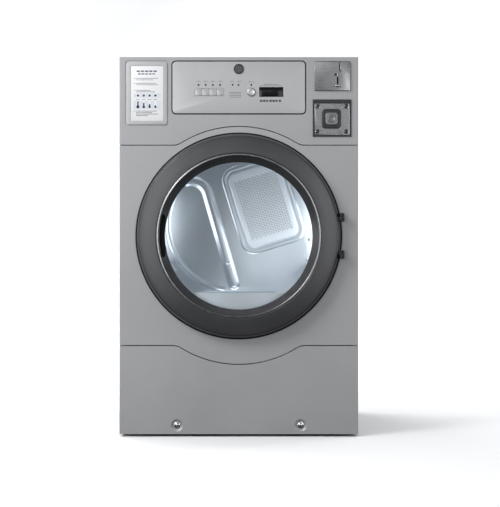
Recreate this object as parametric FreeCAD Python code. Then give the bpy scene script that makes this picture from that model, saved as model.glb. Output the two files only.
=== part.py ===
import FreeCAD, Part
import math
import os

# Commercial coin-operated tumble dryer, in millimetres.
# +Z is up, the front faces -Y and +X is to the viewer's right.
# The origin is the centre of the bounding box's bottom face: the floor under the machine.

V = FreeCAD.Vector

# Overall size
WIDTH = 736.6
HEIGHT = 1171.0
CABINET_DEPTH = 711.0
DOOR_PROUD = 43.0
STUB_LENGTH = 60.0
FRONT = DOOR_PROUD - (DOOR_PROUD + CABINET_DEPTH + STUB_LENGTH) / 2
REAR = FRONT + CABINET_DEPTH
HALF = WIDTH / 2
SHEET = 1.5
PANEL_BOTTOM = 8.0
PANEL_TOP = HEIGHT - SHEET - 0.1
RETURN_DEPTH = 14.0
FOLD_RADIUS = 2.5

# Curved seams between the three front panels
SEAM_GAP = 3.0
UPPER_SEAM_Z = 899.0
LOWER_SEAM_Z = 281.0
SEAM_FLAT_X = 203.0
SEAM_RISE = 58.0
SEAM_BLEND_R = 46.0

# Door and mouth
DOOR_Z = 619.0
DOOR_R = 314.0
FACE_INNER_R = 252.5
GLASS_OPENING_R = 226.0
DOOR_WALL = 3.0
SURROUND_R = 319.0
PANEL_HOLE_R = 299.5
MOUTH_R = 250.0
SILL_Z = 444.0
PULL_HALF_HEIGHT = 66.0

PLUNGER_X = -286.0

# Hinge, on the right of the door
HINGE_X = 316.0
HINGE_Y = FRONT - 24.0
HINGE_PIN_R = 4.0
KNUCKLE_R = 8.0
RUNNING_GAP = 0.05
LEAF_KNUCKLE_Z = (45.0, 57.5)
LUG_Z = (58.0, 70.0)

# Drum
DRUM_Z = 655.0
DRUM_R = 330.0
DRUM_FRONT = FRONT + 50.0
DRUM_REAR = FRONT + 600.0
SEAT_R = 320.0
CURVE_GAP = 0.4
LIFTER_COUNT = 3
LIFTER_HEIGHT = 62.0

# Bulkheads
FRONT_PLATE_Y = FRONT + 42.0
REAR_PLATE_Y = FRONT + 606.0
PLATE = 2.0

# Features of the fixed rear wall: the air inlet plate and the pressed rib
INLET_X = 81.0
INLET_Z = 735.0
INLET_LEAN = 17.0
RIB_X = -66.0
RIB_Z = 612.0
RIB_LEAN = 16.0

# Rollers under the rear edge of the drum
ROLLER_R = 35.0
ROLLER_WIDTH = 20.0
ROLLER_ANGLE = 35.0
ROLLER_GAP = 0.3
ROLLER_SHAFT_R = 6.0

# Motor, blower and belt
MOTOR_X = 150.0
MOTOR_Z = 150.0
MOTOR_R = 62.0
MOTOR_SHAFT_R = 8.0
PULLEY_R = 12.5
BLOWER_R = 80.0
HOUSING_R = 96.0
BLOWER_BLADES = 16
BELT_Y = (FRONT + 324.0, FRONT + 336.0)
BELT_THICKNESS = 3.0
IDLER_X = 62.7
IDLER_Z = 182.2
IDLER_R = 20.0
IDLER_PIVOT_X = 100.0
IDLER_PIVOT_Z = 95.0

# Exhaust
EXHAUST_X = 0.0
EXHAUST_Z = 108.0
EXHAUST_R = 50.8

# Control fascia
FASCIA_X = 204.5
FASCIA_Z = (997.0, 1157.0)
GROOVE = 3.5
KEY_COUNT = 4
KEY_PITCH = 22.4
KEYS_X = -135.5
KEYS_Z = (1051.0, 1074.0)
KEY_TRAVEL = 1.5
START_X = 39.0
START_Z = 1062.6
START_R = 13.3
DISPLAY_X = (63.0, 137.0)
DISPLAY_Z = (1048.0, 1078.0)
INDICATOR_XS = (-124.0, -102.0, -80.0, -58.0, -19.0, -1.0, 38.5)
INDICATOR_Z = 1085.0
INDICATOR_R = 2.7

# Instruction card
CARD_FRAME_X = (-347.0, -221.0)
CARD_FRAME_Z = (962.0, 1157.0)
CARD_X = (-334.0, -232.0)
CARD_Z = (973.0, 1144.0)

# Coin equipment
ENTRY_X = (232.0, 343.5)
ENTRY_Z = (1067.0, 1158.0)
LEVER_X = 304.7
LEVER_Z = 1081.5
LEVER_TRAVEL = 20.0
VAULT_X = (228.0, 347.0)
VAULT_Z = (925.0, 1040.0)
COIN_FACE_X = (232.5, 342.5)
COIN_FACE_Z = (931.0, 1029.0)
LOCK_X = 286.0
LOCK_Z = 980.5
LOCK_R = 13.0

# Levelling feet
FOOT_X = 320.0
FOOT_YS = (FRONT + 80.0, REAR - 60.0)
FOOT_PAD_R = 22.0
FOOT_STUD_R = 6.0
PAN_Z = 20.0

# Kick panel screws
KICK_SCREW_X = 191.0
KICK_SCREW_Z = 35.0
DIMPLE_R = 19.0
SCREW_HEAD_R = 7.0

# Power cable entry, a 7/8 in knock-out
ENTRY_HOLE_R = 11.1
ENTRY_HOLE_X = -300.0
ENTRY_HOLE_Z = 1090.0

Y_AXIS = V(0, 1, 0)
Z_AXIS = V(0, 0, 1)


def box(x, y, z):
    """A block between the low and high value on each axis."""
    return Part.makeBox(x[1] - x[0], y[1] - y[0], z[1] - z[0], V(x[0], y[0], z[0]))


def rod_y(radius, y, x, z):
    """A round bar along Y."""
    return Part.makeCylinder(radius, y[1] - y[0], V(x, y[0], z), Y_AXIS)


def rod_z(radius, z, x, y):
    """A round bar along Z."""
    return Part.makeCylinder(radius, z[1] - z[0], V(x, y, z[0]), Z_AXIS)


def tube_y(outer, inner, y, x, z):
    """A round tube along Y."""
    return rod_y(outer, y, x, z).cut(rod_y(inner, y, x, z))


def rounded_slab(x, y, z, radius):
    """A block whose four corners are rounded as seen from the front."""
    slab = box(x, y, z)
    corners = [e for e in slab.Edges if abs(e.tangentAt(e.FirstParameter).y) > 0.99]
    return slab.makeFillet(radius, corners)


def prism_y(points, y):
    """A polygon of (x, z) points, carried along Y."""
    corners = [V(px, y[0], pz) for px, pz in points]
    face = Part.Face(Part.makePolygon(corners + corners[:1]))
    return face.extrude(V(0, y[1] - y[0], 0))


def lathe(profile, x, z):
    """A closed outline of (radius, y) points, turned about a line along Y."""
    corners = [V(x + r, y, z) for r, y in profile]
    face = Part.Face(Part.makePolygon(corners + corners[:1]))
    return face.revolve(V(x, 0, z), Y_AXIS, 360)


def grow(span, margin):
    """A (low, high) span made longer at both ends."""
    return (span[0] - margin, span[1] + margin)


def fused(shapes):
    """Shapes joined to one solid."""
    return shapes[0].multiFuse(shapes[1:]).removeSplitter()


def save(name, *solids):
    """One STEP file for each sub-part."""
    shape = solids[0] if len(solids) == 1 else Part.makeCompound(list(solids))
    shape.exportStep("parts/" + name + ".step")


def seam_edges(flat_z, rise):
    """The seam's edges from left to right: flat, blend, main arc, blend, flat."""
    side = math.copysign(1.0, rise)
    height = abs(rise)
    reach = (height ** 2 + SEAM_FLAT_X ** 2) / (2 * height)
    main_r = reach - SEAM_BLEND_R
    main_z = flat_z + side * (height - main_r)
    blend_z = flat_z + side * SEAM_BLEND_R
    join_x = SEAM_FLAT_X * main_r / reach
    join_z = main_z + (blend_z - main_z) * main_r / reach
    lean = math.atan2(SEAM_FLAT_X, side * (blend_z - main_z)) / 2
    mid_x = SEAM_FLAT_X - SEAM_BLEND_R * math.sin(lean)
    mid_z = blend_z - side * SEAM_BLEND_R * math.cos(lean)

    def at(px, pz):
        return V(px, FRONT, pz)

    return [
        Part.makeLine(at(-HALF, flat_z), at(-SEAM_FLAT_X, flat_z)),
        Part.Arc(at(-SEAM_FLAT_X, flat_z), at(-mid_x, mid_z), at(-join_x, join_z)).toShape(),
        Part.Arc(at(-join_x, join_z), at(0, flat_z + rise), at(join_x, join_z)).toShape(),
        Part.Arc(at(join_x, join_z), at(mid_x, mid_z), at(SEAM_FLAT_X, flat_z)).toShape(),
        Part.makeLine(at(SEAM_FLAT_X, flat_z), at(HALF, flat_z)),
    ]


def level_edges(z):
    """A straight panel edge from left to right."""
    return [Part.makeLine(V(-HALF, FRONT, z), V(HALF, FRONT, z))]


def front_tray(bottom, top):
    """A front panel with its edges folded back all round."""
    low_z = bottom[0].Vertexes[0].Z
    high_z = top[0].Vertexes[0].Z
    sides = [
        Part.makeLine(V(-HALF, FRONT, low_z), V(-HALF, FRONT, high_z)),
        Part.makeLine(V(HALF, FRONT, low_z), V(HALF, FRONT, high_z)),
    ]
    face = Part.Face(Part.Wire(Part.__sortEdges__(bottom + top + sides)))
    solid = face.extrude(V(0, RETURN_DEPTH, 0))
    folds = [
        e for e in solid.Edges
        if abs(e.BoundBox.YMin - FRONT) < 0.01 and e.BoundBox.YLength < 0.01
        and abs(abs(e.BoundBox.XMin) - HALF) < 0.01 and e.BoundBox.XLength < 0.01
    ]
    solid = solid.makeFillet(FOLD_RADIUS, folds)
    inner = face.makeOffset2D(-SHEET)
    inner.translate(V(0, SHEET, 0))
    hollow = inner.extrude(V(0, RETURN_DEPTH, 0))
    return solid.cut(hollow)


def upper_front_panel():
    panel = front_tray(
        seam_edges(UPPER_SEAM_Z + SEAM_GAP / 2, SEAM_RISE),
        level_edges(PANEL_TOP),
    )
    depth = (FRONT - 1, FRONT + SHEET + 1)
    fascia_hole = rounded_slab(
        (-FASCIA_X - GROOVE, FASCIA_X + GROOVE), depth, grow(FASCIA_Z, GROOVE), 14.0)
    card_hole = rounded_slab(grow(CARD_FRAME_X, GROOVE), depth, grow(CARD_FRAME_Z, GROOVE), 11.0)
    entry_hole = box(grow(ENTRY_X, -5), depth, grow(ENTRY_Z, -5))
    vault_hole = box(grow(VAULT_X, -2), depth, grow(VAULT_Z, -2))
    for hole in (fascia_hole, card_hole, entry_hole, vault_hole):
        panel = panel.cut(hole)
    save("upper_front_panel", panel)


def door_panel():
    panel = front_tray(
        seam_edges(LOWER_SEAM_Z + SEAM_GAP / 2, -SEAM_RISE),
        seam_edges(UPPER_SEAM_Z - SEAM_GAP / 2, SEAM_RISE),
    )
    hole = rod_y(PANEL_HOLE_R, (FRONT - 1, FRONT + RETURN_DEPTH + 1), 0, DOOR_Z)
    save("door_panel", panel.cut(hole))


def kick_panel():
    """The bottom panel, with a dished seat for each of its two screws."""
    panel = front_tray(
        level_edges(PANEL_BOTTOM),
        seam_edges(LOWER_SEAM_Z - SEAM_GAP / 2, -SEAM_RISE),
    )
    dish_depth = 5.0
    screws = []
    for x in (-KICK_SCREW_X, KICK_SCREW_X):
        panel = panel.cut(rod_y(DIMPLE_R, (FRONT - 1, FRONT + SHEET + 1), x, KICK_SCREW_Z))
        dish = lathe([
            (DIMPLE_R, FRONT), (DIMPLE_R, FRONT + SHEET), (DIMPLE_R - 6, FRONT + dish_depth + SHEET),
            (4, FRONT + dish_depth + SHEET), (4, FRONT + dish_depth), (DIMPLE_R - 7, FRONT + dish_depth),
        ], x, KICK_SCREW_Z)
        panel = panel.fuse(dish)
        head = lathe([
            (0, FRONT + 0.5), (4, FRONT + 0.8), (SCREW_HEAD_R, FRONT + 3), (SCREW_HEAD_R, FRONT + dish_depth),
            (3.9, FRONT + dish_depth), (3.9, FRONT + 20), (0, FRONT + 20),
        ], x, KICK_SCREW_Z)
        screws.append(head)
    save("kick_panel", panel)
    save("kick_screws", *screws)


def side_panels():
    """Left and right sides, with a flange turned in at the front and the rear."""
    front_y = FRONT + RETURN_DEPTH + 0.5
    flange = 18.0
    for name, side in (("left_side_panel", -1), ("right_side_panel", 1)):
        outer = sorted((side * HALF, side * (HALF - SHEET)))
        inner = sorted((side * HALF, side * (HALF - flange)))
        z = (PANEL_BOTTOM, PANEL_TOP)
        rear_y = REAR - SHEET - 0.1
        panel = fused([
            box(outer, (front_y, REAR), z),
            box(inner, (front_y, front_y + SHEET), z),
            box(inner, (rear_y - SHEET, rear_y), z),
        ])
        save(name, panel)


def top_cover():
    """A lid with a locating rim inside the side and rear panels."""
    rim = 3.0
    rim_x = HALF - SHEET - rim
    rim_y = (FRONT + RETURN_DEPTH + rim, REAR - rim - SHEET)
    rim_z = (PANEL_TOP - 12.0, PANEL_TOP + 0.1)
    ring = box((-rim_x, rim_x), rim_y, rim_z).cut(
        box((-rim_x + SHEET, rim_x - SHEET), (rim_y[0] - 1, rim_y[1] - SHEET), rim_z))
    lid = box((-HALF, HALF), (FRONT, REAR), (PANEL_TOP + 0.1, HEIGHT))
    save("top_cover", fused([lid, ring]))


def rear_panel():
    """The back cover, with the exhaust hole, the cable entry and two rows of air slots."""
    y = (REAR - SHEET, REAR)
    x_edge = HALF - SHEET - 0.1
    panel = box((-x_edge, x_edge), y, (PANEL_BOTTOM, PANEL_TOP))
    deep = grow(y, 1)
    panel = panel.cut(rod_y(EXHAUST_R + 1.2, deep, EXHAUST_X, EXHAUST_Z))
    panel = panel.cut(rod_y(ENTRY_HOLE_R, deep, ENTRY_HOLE_X, ENTRY_HOLE_Z))
    slots = []
    for column in (-1, 1):
        for row in range(6):
            z = 330.0 + 24.0 * row
            middle = column * 200.0
            slots.append(box((middle - 60, middle + 60), deep, (z, z + 8)))
    save("rear_panel", panel.cut(Part.makeCompound(slots)))


def base_pan():
    """The floor pan, with raised edges and a threaded boss for each foot."""
    x_edge = HALF - SHEET - 0.1
    y = (FRONT + 30.0, REAR - 8.0)
    rim = 35.0
    pan = box((-x_edge, x_edge), y, (PAN_Z, PAN_Z + rim)).cut(
        box((-x_edge + SHEET, x_edge - SHEET), grow(y, -SHEET), (PAN_Z + SHEET, PAN_Z + rim)))
    for x in (-FOOT_X, FOOT_X):
        for foot_y in FOOT_YS:
            pan = pan.fuse(rod_z(13.0, (PAN_Z + SHEET, PAN_Z + 14), x, foot_y))
            pan = pan.cut(rod_z(FOOT_STUD_R + RUNNING_GAP, (PAN_Z - 1, PAN_Z + 15), x, foot_y))
    save("base_pan", pan)


def feet():
    """Four screw-in levelling feet: pad, locknut and stud."""
    corners = (("front_left", -1, 0), ("front_right", 1, 0), ("rear_left", -1, 1), ("rear_right", 1, 1))
    for name, side, row in corners:
        x = side * FOOT_X
        y = FOOT_YS[row]
        pad = Part.makeCone(FOOT_PAD_R, FOOT_PAD_R - 7, 10, V(x, y, 0))
        nut = Part.makeCylinder(10, 5, V(x, y, 10))
        stud = rod_z(FOOT_STUD_R, (10, 82), x, y)
        save(name + "_foot", fused([pad, nut, stud]))


def mouth_outline(radius, sill, y):
    """A round face cut flat along the sill, carried along Y."""
    return rod_y(radius, y, 0, DOOR_Z).cut(
        box((-radius - 5, radius + 5), grow(y, 1), (DOOR_Z - radius - 5, sill)))


def front_bulkhead():
    """The plate that the drum's mouth opens through, with its collar, sill and drum seat."""
    plate_y = (FRONT_PLATE_Y, FRONT_PLATE_Y + PLATE)
    collar_y = (FRONT + 17.0, FRONT_PLATE_Y + PLATE)
    plate = box((-362, 362), plate_y, (290, 984)).cut(box((222, 363), grow(plate_y, 1), (920, 985)))
    collar = mouth_outline(MOUTH_R + PLATE, SILL_Z - PLATE, collar_y)
    sill_cover = rod_y(MOUTH_R + PLATE, (collar_y[0], collar_y[0] + PLATE), 0, DOOR_Z)
    seat = tube_y(SEAT_R, SEAT_R - PLATE, (FRONT_PLATE_Y, DRUM_FRONT + 12), 0, DRUM_Z)
    bulkhead = fused([plate, collar, sill_cover, seat])
    bulkhead = bulkhead.cut(mouth_outline(MOUTH_R, SILL_Z, grow(collar_y, 2)))
    bulkhead = bulkhead.cut(box((-121, 121), (FRONT + 22.5, FRONT + 37.5), (SILL_Z - 5, SILL_Z + 5)))
    slots = []
    for row in range(4):
        z = 398.0 + 12.0 * row
        slots.append(box((-100, 100), grow(plate_y, 1), (z, z + 7)))
    save("front_bulkhead", bulkhead.cut(Part.makeCompound(slots)))


def roller_place(side):
    """The centre of a drum roller, seen from the front."""
    angle = math.radians(ROLLER_ANGLE)
    reach = DRUM_R + ROLLER_GAP + ROLLER_R
    return side * reach * math.sin(angle), DRUM_Z - reach * math.cos(angle)


def rear_bulkhead():
    """The fixed rear wall of the drum: raised inlet plate, pressed rib, drum seat, roller pins."""
    plate_y = (REAR_PLATE_Y, REAR_PLATE_Y + PLATE)
    plate = box((-362, 362), plate_y, (290, 1012))
    seat = tube_y(SEAT_R, SEAT_R - PLATE, (DRUM_REAR - 12, REAR_PLATE_Y), 0, DRUM_Z)
    inlet = rounded_slab((-94, 94), (REAR_PLATE_Y - 6, REAR_PLATE_Y), (-136, 136), 28)
    inlet.rotate(V(0, 0, 0), Y_AXIS, -INLET_LEAN)
    inlet.translate(V(INLET_X, 0, INLET_Z))
    rib = rounded_slab((-19, 19), (REAR_PLATE_Y - 6, REAR_PLATE_Y), (-190, 190), 18)
    rib.rotate(V(0, 0, 0), Y_AXIS, -RIB_LEAN)
    rib.translate(V(RIB_X, 0, RIB_Z))
    wall = fused([plate, seat, inlet, rib])
    for side in (-1, 1):
        x, z = roller_place(side)
        pin_y = (REAR_PLATE_Y - 40, REAR_PLATE_Y)
        wall = wall.fuse(rod_y(ROLLER_SHAFT_R, pin_y, x, z))
        wall = wall.fuse(rod_y(12, (REAR_PLATE_Y - 8, REAR_PLATE_Y), x, z))
    save("rear_bulkhead", wall)


def felt_seals():
    """A felt ring on each bulkhead seat, which the drum's edge runs over."""
    outer = DRUM_R - SHEET - CURVE_GAP
    front_ring = tube_y(outer, SEAT_R, (DRUM_FRONT - 1, DRUM_FRONT + 11), 0, DRUM_Z)
    rear_ring = tube_y(outer, SEAT_R, (DRUM_REAR - 11, DRUM_REAR + 1), 0, DRUM_Z)
    save("felt_seals", front_ring, rear_ring)


def drum():
    """The drum shell, and the lifters that carry the load round."""
    inner = DRUM_R - SHEET
    save("drum_shell", tube_y(DRUM_R, inner, (DRUM_FRONT, DRUM_REAR), 0, DRUM_Z))
    foot = inner - 4.0
    top = foot - LIFTER_HEIGHT
    lifters = []
    for number in range(LIFTER_COUNT):
        lifter = prism_y(
            [(-42, -foot), (-20, -top - 8), (-12, -top), (12, -top), (20, -top - 8), (42, -foot)],
            (DRUM_FRONT + 35, DRUM_REAR - 35))
        sole = prism_y([(-42, -foot - 1), (42, -foot - 1), (42, -foot), (-42, -foot)],
                       (DRUM_FRONT + 35, DRUM_REAR - 35))
        lifter = lifter.fuse(sole).common(rod_y(inner, (DRUM_FRONT, DRUM_REAR), 0, 0))
        hollow = prism_y(
            [(-39.5, -foot - 3), (-18.5, -top - 10), (-11, -top - 2), (11, -top - 2), (18.5, -top - 10),
             (39.5, -foot - 3)],
            (DRUM_FRONT + 37, DRUM_REAR - 37))
        lifter = lifter.cut(hollow)
        lifter.rotate(V(0, 0, 0), Y_AXIS, 60 + 360.0 / LIFTER_COUNT * number)
        lifter.translate(V(0, 0, DRUM_Z))
        lifters.append(lifter)
    save("drum_lifters", *lifters)


def rollers():
    y = (REAR_PLATE_Y - 8.5 - ROLLER_WIDTH, REAR_PLATE_Y - 8.5)
    for name, side in (("left_drum_roller", -1), ("right_drum_roller", 1)):
        x, z = roller_place(side)
        save(name, tube_y(ROLLER_R, ROLLER_SHAFT_R + RUNNING_GAP, y, x, z))


def lint_path():
    """The lint filter in the sill, and the duct that leads down to the blower."""
    y = (FRONT + 19.5, FRONT + 41.5)
    outline = [
        (-130, SILL_Z - 2.2), (130, SILL_Z - 2.2), (130, 330), (228, 235), (228, 78),
        (72, 78), (72, 235), (-130, 330),
    ]
    cavity = [
        (-128, SILL_Z), (128, SILL_Z), (128, 330.8), (226, 235.8), (226, 80),
        (74, 80), (74, 236.5), (-128, 331.5),
    ]
    duct = prism_y(outline, y).cut(prism_y(cavity, grow(y, -2)))
    duct = duct.cut(rod_y(62, (y[1] - 3, y[1] + 1), MOTOR_X, MOTOR_Z))
    duct = duct.cut(box((-104, 104), (y[1] - 3, y[1] + 1), (394, 434)))
    save("lint_duct", duct)
    frame = box((-118, 118), (FRONT + 25, FRONT + 35), (346, SILL_Z + 3))
    screen = box((-110, 110), (FRONT + 27, FRONT + 36), (354, SILL_Z - 6))
    grip = rounded_slab((-112, 112), (FRONT + 23.5, FRONT + 36.5), (SILL_Z + 0.5, SILL_Z + 4.5), 1.9)
    save("lint_filter", fused([frame.cut(screen), grip]))


def blower():
    """The blower housing with its inlet collar, and the bladed wheel inside."""
    y = (FRONT + 62, FRONT + 134)
    wall = 2.0
    outlet_x = (EXHAUST_X + 53.7, MOTOR_X)
    outer = fused([
        rod_y(HOUSING_R, y, MOTOR_X, MOTOR_Z),
        box(outlet_x, y, (MOTOR_Z - HOUSING_R, MOTOR_Z - 32)),
    ])
    hollow_y = grow(y, -wall)
    hollow = fused([
        rod_y(HOUSING_R - wall, hollow_y, MOTOR_X, MOTOR_Z),
        box((outlet_x[0] - 1, outlet_x[1]), hollow_y, (MOTOR_Z - HOUSING_R + wall, MOTOR_Z - 32 - wall)),
    ])
    housing = outer.cut(hollow)
    housing = housing.cut(rod_y(60, (y[0] - 1, y[0] + 4), MOTOR_X, MOTOR_Z))
    collar = tube_y(62, 60, (FRONT + 41.6, y[0]), MOTOR_X, MOTOR_Z)
    housing = fused([housing, collar])
    housing = housing.cut(rod_y(MOTOR_SHAFT_R + 3, (y[1] - 4, y[1] + 1), MOTOR_X, MOTOR_Z))
    feet_x = (MOTOR_X - 40, MOTOR_X + 40)
    stand = box(feet_x, grow(y, -25), (PAN_Z + SHEET, MOTOR_Z - HOUSING_R + 6))
    save("blower_housing", fused([housing, stand.cut(rod_y(HOUSING_R - 1, y, MOTOR_X, MOTOR_Z))]))

    back = rod_y(BLOWER_R, (y[1] - 16, y[1] - 13), MOTOR_X, MOTOR_Z)
    rim = tube_y(BLOWER_R, BLOWER_R - 12, (y[0] + 8, y[0] + 11), MOTOR_X, MOTOR_Z)
    hub = rod_y(18, (y[1] - 30, y[1] - 13), MOTOR_X, MOTOR_Z)
    wheel = [back, rim, hub]
    for number in range(BLOWER_BLADES):
        blade = box((BLOWER_R - 14, BLOWER_R - 1), (y[0] + 10, y[1] - 14), (-1.2, 1.2))
        blade.rotate(V(BLOWER_R - 7, 0, 0), Y_AXIS, 35)
        blade.rotate(V(0, 0, 0), Y_AXIS, 360.0 / BLOWER_BLADES * number)
        blade.translate(V(MOTOR_X, 0, MOTOR_Z))
        wheel.append(blade)
    bore = rod_y(MOTOR_SHAFT_R, y, MOTOR_X, MOTOR_Z)
    save("blower_wheel", fused(wheel).cut(bore))


def exhaust_duct():
    """The elbow box beside the blower and the round pipe that ends in the rear stub."""
    y = (FRONT + 60, FRONT + 136)
    wall = 1.5
    box_x = (EXHAUST_X - 55, EXHAUST_X + 53.5)
    box_z = (46, 166)
    liner_r = EXHAUST_R - 0.8
    shell = box(box_x, y, box_z).cut(box(grow(box_x, -wall), grow(y, -wall), grow(box_z, -wall)))
    port = box((box_x[1] - 3, box_x[1] + 1), (FRONT + 64, FRONT + 132), (56, 114))
    shell = shell.cut(port)
    shell = shell.cut(rod_y(EXHAUST_R - wall, grow((y[1], y[1]), 4), EXHAUST_X, EXHAUST_Z))
    pipe = tube_y(liner_r, EXHAUST_R - wall, (y[1], REAR), EXHAUST_X, EXHAUST_Z)
    stub = tube_y(EXHAUST_R, EXHAUST_R - wall, (REAR, REAR + STUB_LENGTH), EXHAUST_X, EXHAUST_Z)
    save("exhaust_duct", fused([shell, pipe, stub]))


def heater():
    """The rear heater duct, and the wound heating element inside it."""
    y = (REAR_PLATE_Y + PLATE + 0.5, REAR - 22)
    duct_x = (-20, 210)
    duct_z = (210, 860)
    duct = box(duct_x, y, duct_z).cut(box(grow(duct_x, -1.5), grow(y, -1.5), grow(duct_z, -1.5)))
    intake = box(grow(duct_x, -25), (y[1] - 3, y[1] + 1), (230, 300))
    outlet = box(grow(duct_x, -25), (y[0] - 1, y[0] + 3), (640, 830))
    duct = duct.cut(intake).cut(outlet)
    middle_y = (y[0] + y[1]) / 2
    rods = []
    for row in range(6):
        rods.append(Part.makeCylinder(4, 170, V(10, middle_y, 340 + 40 * row), V(1, 0, 0)))
    cross = [box((x - 3, x + 3), grow((middle_y, middle_y), 25), (320, 560)) for x in (10, 180)]
    save("heater_duct", duct, fused(rods + cross))


def motor():
    """The drive motor on its stand, and its shaft with the belt pulley."""
    y = (FRONT + 150, FRONT + 300)
    body = rod_y(MOTOR_R, y, MOTOR_X, MOTOR_Z)
    for end in (y[0], y[1] - 8):
        body = body.fuse(rod_y(MOTOR_R + 4, (end, end + 8), MOTOR_X, MOTOR_Z))
    stand = box((MOTOR_X - 55, MOTOR_X + 55), (y[0] + 15, y[1] - 15), (PAN_Z + SHEET, MOTOR_Z - 30))
    body = fused([body, stand])
    body = body.cut(rod_y(MOTOR_SHAFT_R + RUNNING_GAP, grow(y, 1), MOTOR_X, MOTOR_Z))
    post = box((IDLER_PIVOT_X - 10, IDLER_PIVOT_X + 10), (FRONT + 350, FRONT + 358),
               (PAN_Z + SHEET, IDLER_PIVOT_Z + 10))
    pivot = rod_y(5, (FRONT + 338, FRONT + 350), IDLER_PIVOT_X, IDLER_PIVOT_Z)
    save("motor_housing", body, fused([post, pivot]))

    shaft = rod_y(MOTOR_SHAFT_R, (FRONT + 96, FRONT + 344), MOTOR_X, MOTOR_Z)
    pulley = rod_y(PULLEY_R, grow(BELT_Y, 3), MOTOR_X, MOTOR_Z)
    save("motor_shaft", fused([shaft, pulley]))


def belt_loop(wheels, y):
    """A closed path round wheels given as (x, z, signed radius), carried along Y."""
    spans = []
    for index, (x, z, r) in enumerate(wheels):
        nx, nz, nr = wheels[(index + 1) % len(wheels)]
        heading = math.atan2(nz - z, nx - x) - math.asin((nr - r) / math.hypot(nx - x, nz - z))
        left = (-math.sin(heading), math.cos(heading))
        spans.append(((x - r * left[0], z - r * left[1]), (nx - nr * left[0], nz - nr * left[1])))
    edges = []
    for index, (x, z, r) in enumerate(wheels):
        start = spans[index - 1][1]
        end = spans[index][0]
        turn = math.copysign(1.0, r)
        angle_in = math.atan2(start[1] - z, start[0] - x)
        angle_out = math.atan2(end[1] - z, end[0] - x)
        sweep = (turn * (angle_out - angle_in)) % (2 * math.pi)
        middle = angle_in + turn * sweep / 2
        crest = V(x + abs(r) * math.cos(middle), y[0], z + abs(r) * math.sin(middle))
        edges.append(Part.Arc(V(start[0], y[0], start[1]), crest, V(end[0], y[0], end[1])).toShape())
        reach = spans[index][1]
        edges.append(Part.makeLine(V(end[0], y[0], end[1]), V(reach[0], y[0], reach[1])))
    return Part.Face(Part.Wire(edges)).extrude(V(0, y[1] - y[0], 0))


def drive_belt():
    """The belt runs round the drum and the motor pulley, and the idler presses on its back."""
    near = CURVE_GAP
    far = CURVE_GAP + BELT_THICKNESS
    inside = [(0, DRUM_Z, DRUM_R + near), (IDLER_X, IDLER_Z, -(IDLER_R + far)),
              (MOTOR_X, MOTOR_Z, PULLEY_R + near)]
    outside = [(0, DRUM_Z, DRUM_R + far), (IDLER_X, IDLER_Z, -(IDLER_R + near)),
               (MOTOR_X, MOTOR_Z, PULLEY_R + far)]
    save("drive_belt", belt_loop(outside, BELT_Y).cut(belt_loop(inside, BELT_Y)))


def idler():
    """The tensioner: arm, pulley and the spring that pulls the arm over."""
    arm_y = (FRONT + 341, FRONT + 345)
    reach = V(IDLER_X - IDLER_PIVOT_X, 0, IDLER_Z - IDLER_PIVOT_Z)
    bar = box((-9, 9), arm_y, (0, reach.Length))
    bar.rotate(V(0, 0, 0), Y_AXIS, math.degrees(math.atan2(reach.x, reach.z)))
    bar.translate(V(IDLER_PIVOT_X, 0, IDLER_PIVOT_Z))
    boss = rod_y(12, (arm_y[0], arm_y[1] + 3), IDLER_PIVOT_X, IDLER_PIVOT_Z)
    tip = rod_y(9, arm_y, IDLER_X, IDLER_Z)
    pin = rod_y(4, (BELT_Y[0] - 4, arm_y[1]), IDLER_X, IDLER_Z)
    arm = fused([bar, boss, tip, pin])
    save("idler_arm", arm.cut(rod_y(5 + RUNNING_GAP, grow(arm_y, 5), IDLER_PIVOT_X, IDLER_PIVOT_Z)))
    save("idler_pulley", tube_y(IDLER_R, 4 + RUNNING_GAP, grow(BELT_Y, 3), IDLER_X, IDLER_Z))
    coil_r = 5.0
    wire_r = 0.9
    coil_height = 44.0
    foot = V(IDLER_X - 3, arm_y[1] + 9, PAN_Z + SHEET + 78)
    helix = Part.makeHelix(5.5, coil_height, coil_r)
    profile = Part.Wire(Part.makeCircle(wire_r, V(coil_r, 0, 0), Y_AXIS))
    spring = helix.makePipeShell([profile], True, True)
    spring.translate(foot)
    save("idler_spring", spring)


def control_fascia():
    y = (FRONT - 1.5, FRONT + 1.5)
    deep = grow(y, 1)
    fascia = rounded_slab((-FASCIA_X, FASCIA_X), y, FASCIA_Z, 11)
    keys_x = (KEYS_X - 0.4, KEYS_X + KEY_PITCH * KEY_COUNT)
    fascia = fascia.cut(box(keys_x, deep, grow(KEYS_Z, 0.4)))
    fascia = fascia.cut(rod_y(START_R + 0.4, deep, START_X, START_Z))
    fascia = fascia.cut(box(grow(DISPLAY_X, 0.2), deep, grow(DISPLAY_Z, 0.2)))
    for x in INDICATOR_XS:
        fascia = fascia.cut(rod_y(INDICATOR_R + 0.2, deep, x, INDICATOR_Z))
    save("control_fascia", fascia)


def display_window():
    """The display's dark lens and the indicator lenses."""
    window = box(DISPLAY_X, (FRONT - 1.8, FRONT + 6), DISPLAY_Z)
    lenses = [rod_y(INDICATOR_R, (FRONT - 1.9, FRONT + 4), x, INDICATOR_Z) for x in INDICATOR_XS]
    save("display_window", window, *lenses)


def control_buttons():
    """Four programme keys and the round start button."""
    y = (FRONT - 2.3, FRONT + 5)
    for number in range(KEY_COUNT):
        left = KEYS_X + KEY_PITCH * number
        key = rounded_slab((left, left + KEY_PITCH - 0.4), y, KEYS_Z, 0.8)
        save("programme_key_%d" % (number + 1), key)
    button = lathe([
        (0, FRONT - 7.5), (6, FRONT - 7.2), (10.5, FRONT - 6), (START_R, FRONT - 3.6),
        (START_R, FRONT + 6), (0, FRONT + 6),
    ], START_X, START_Z)
    save("start_button", button)


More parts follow.
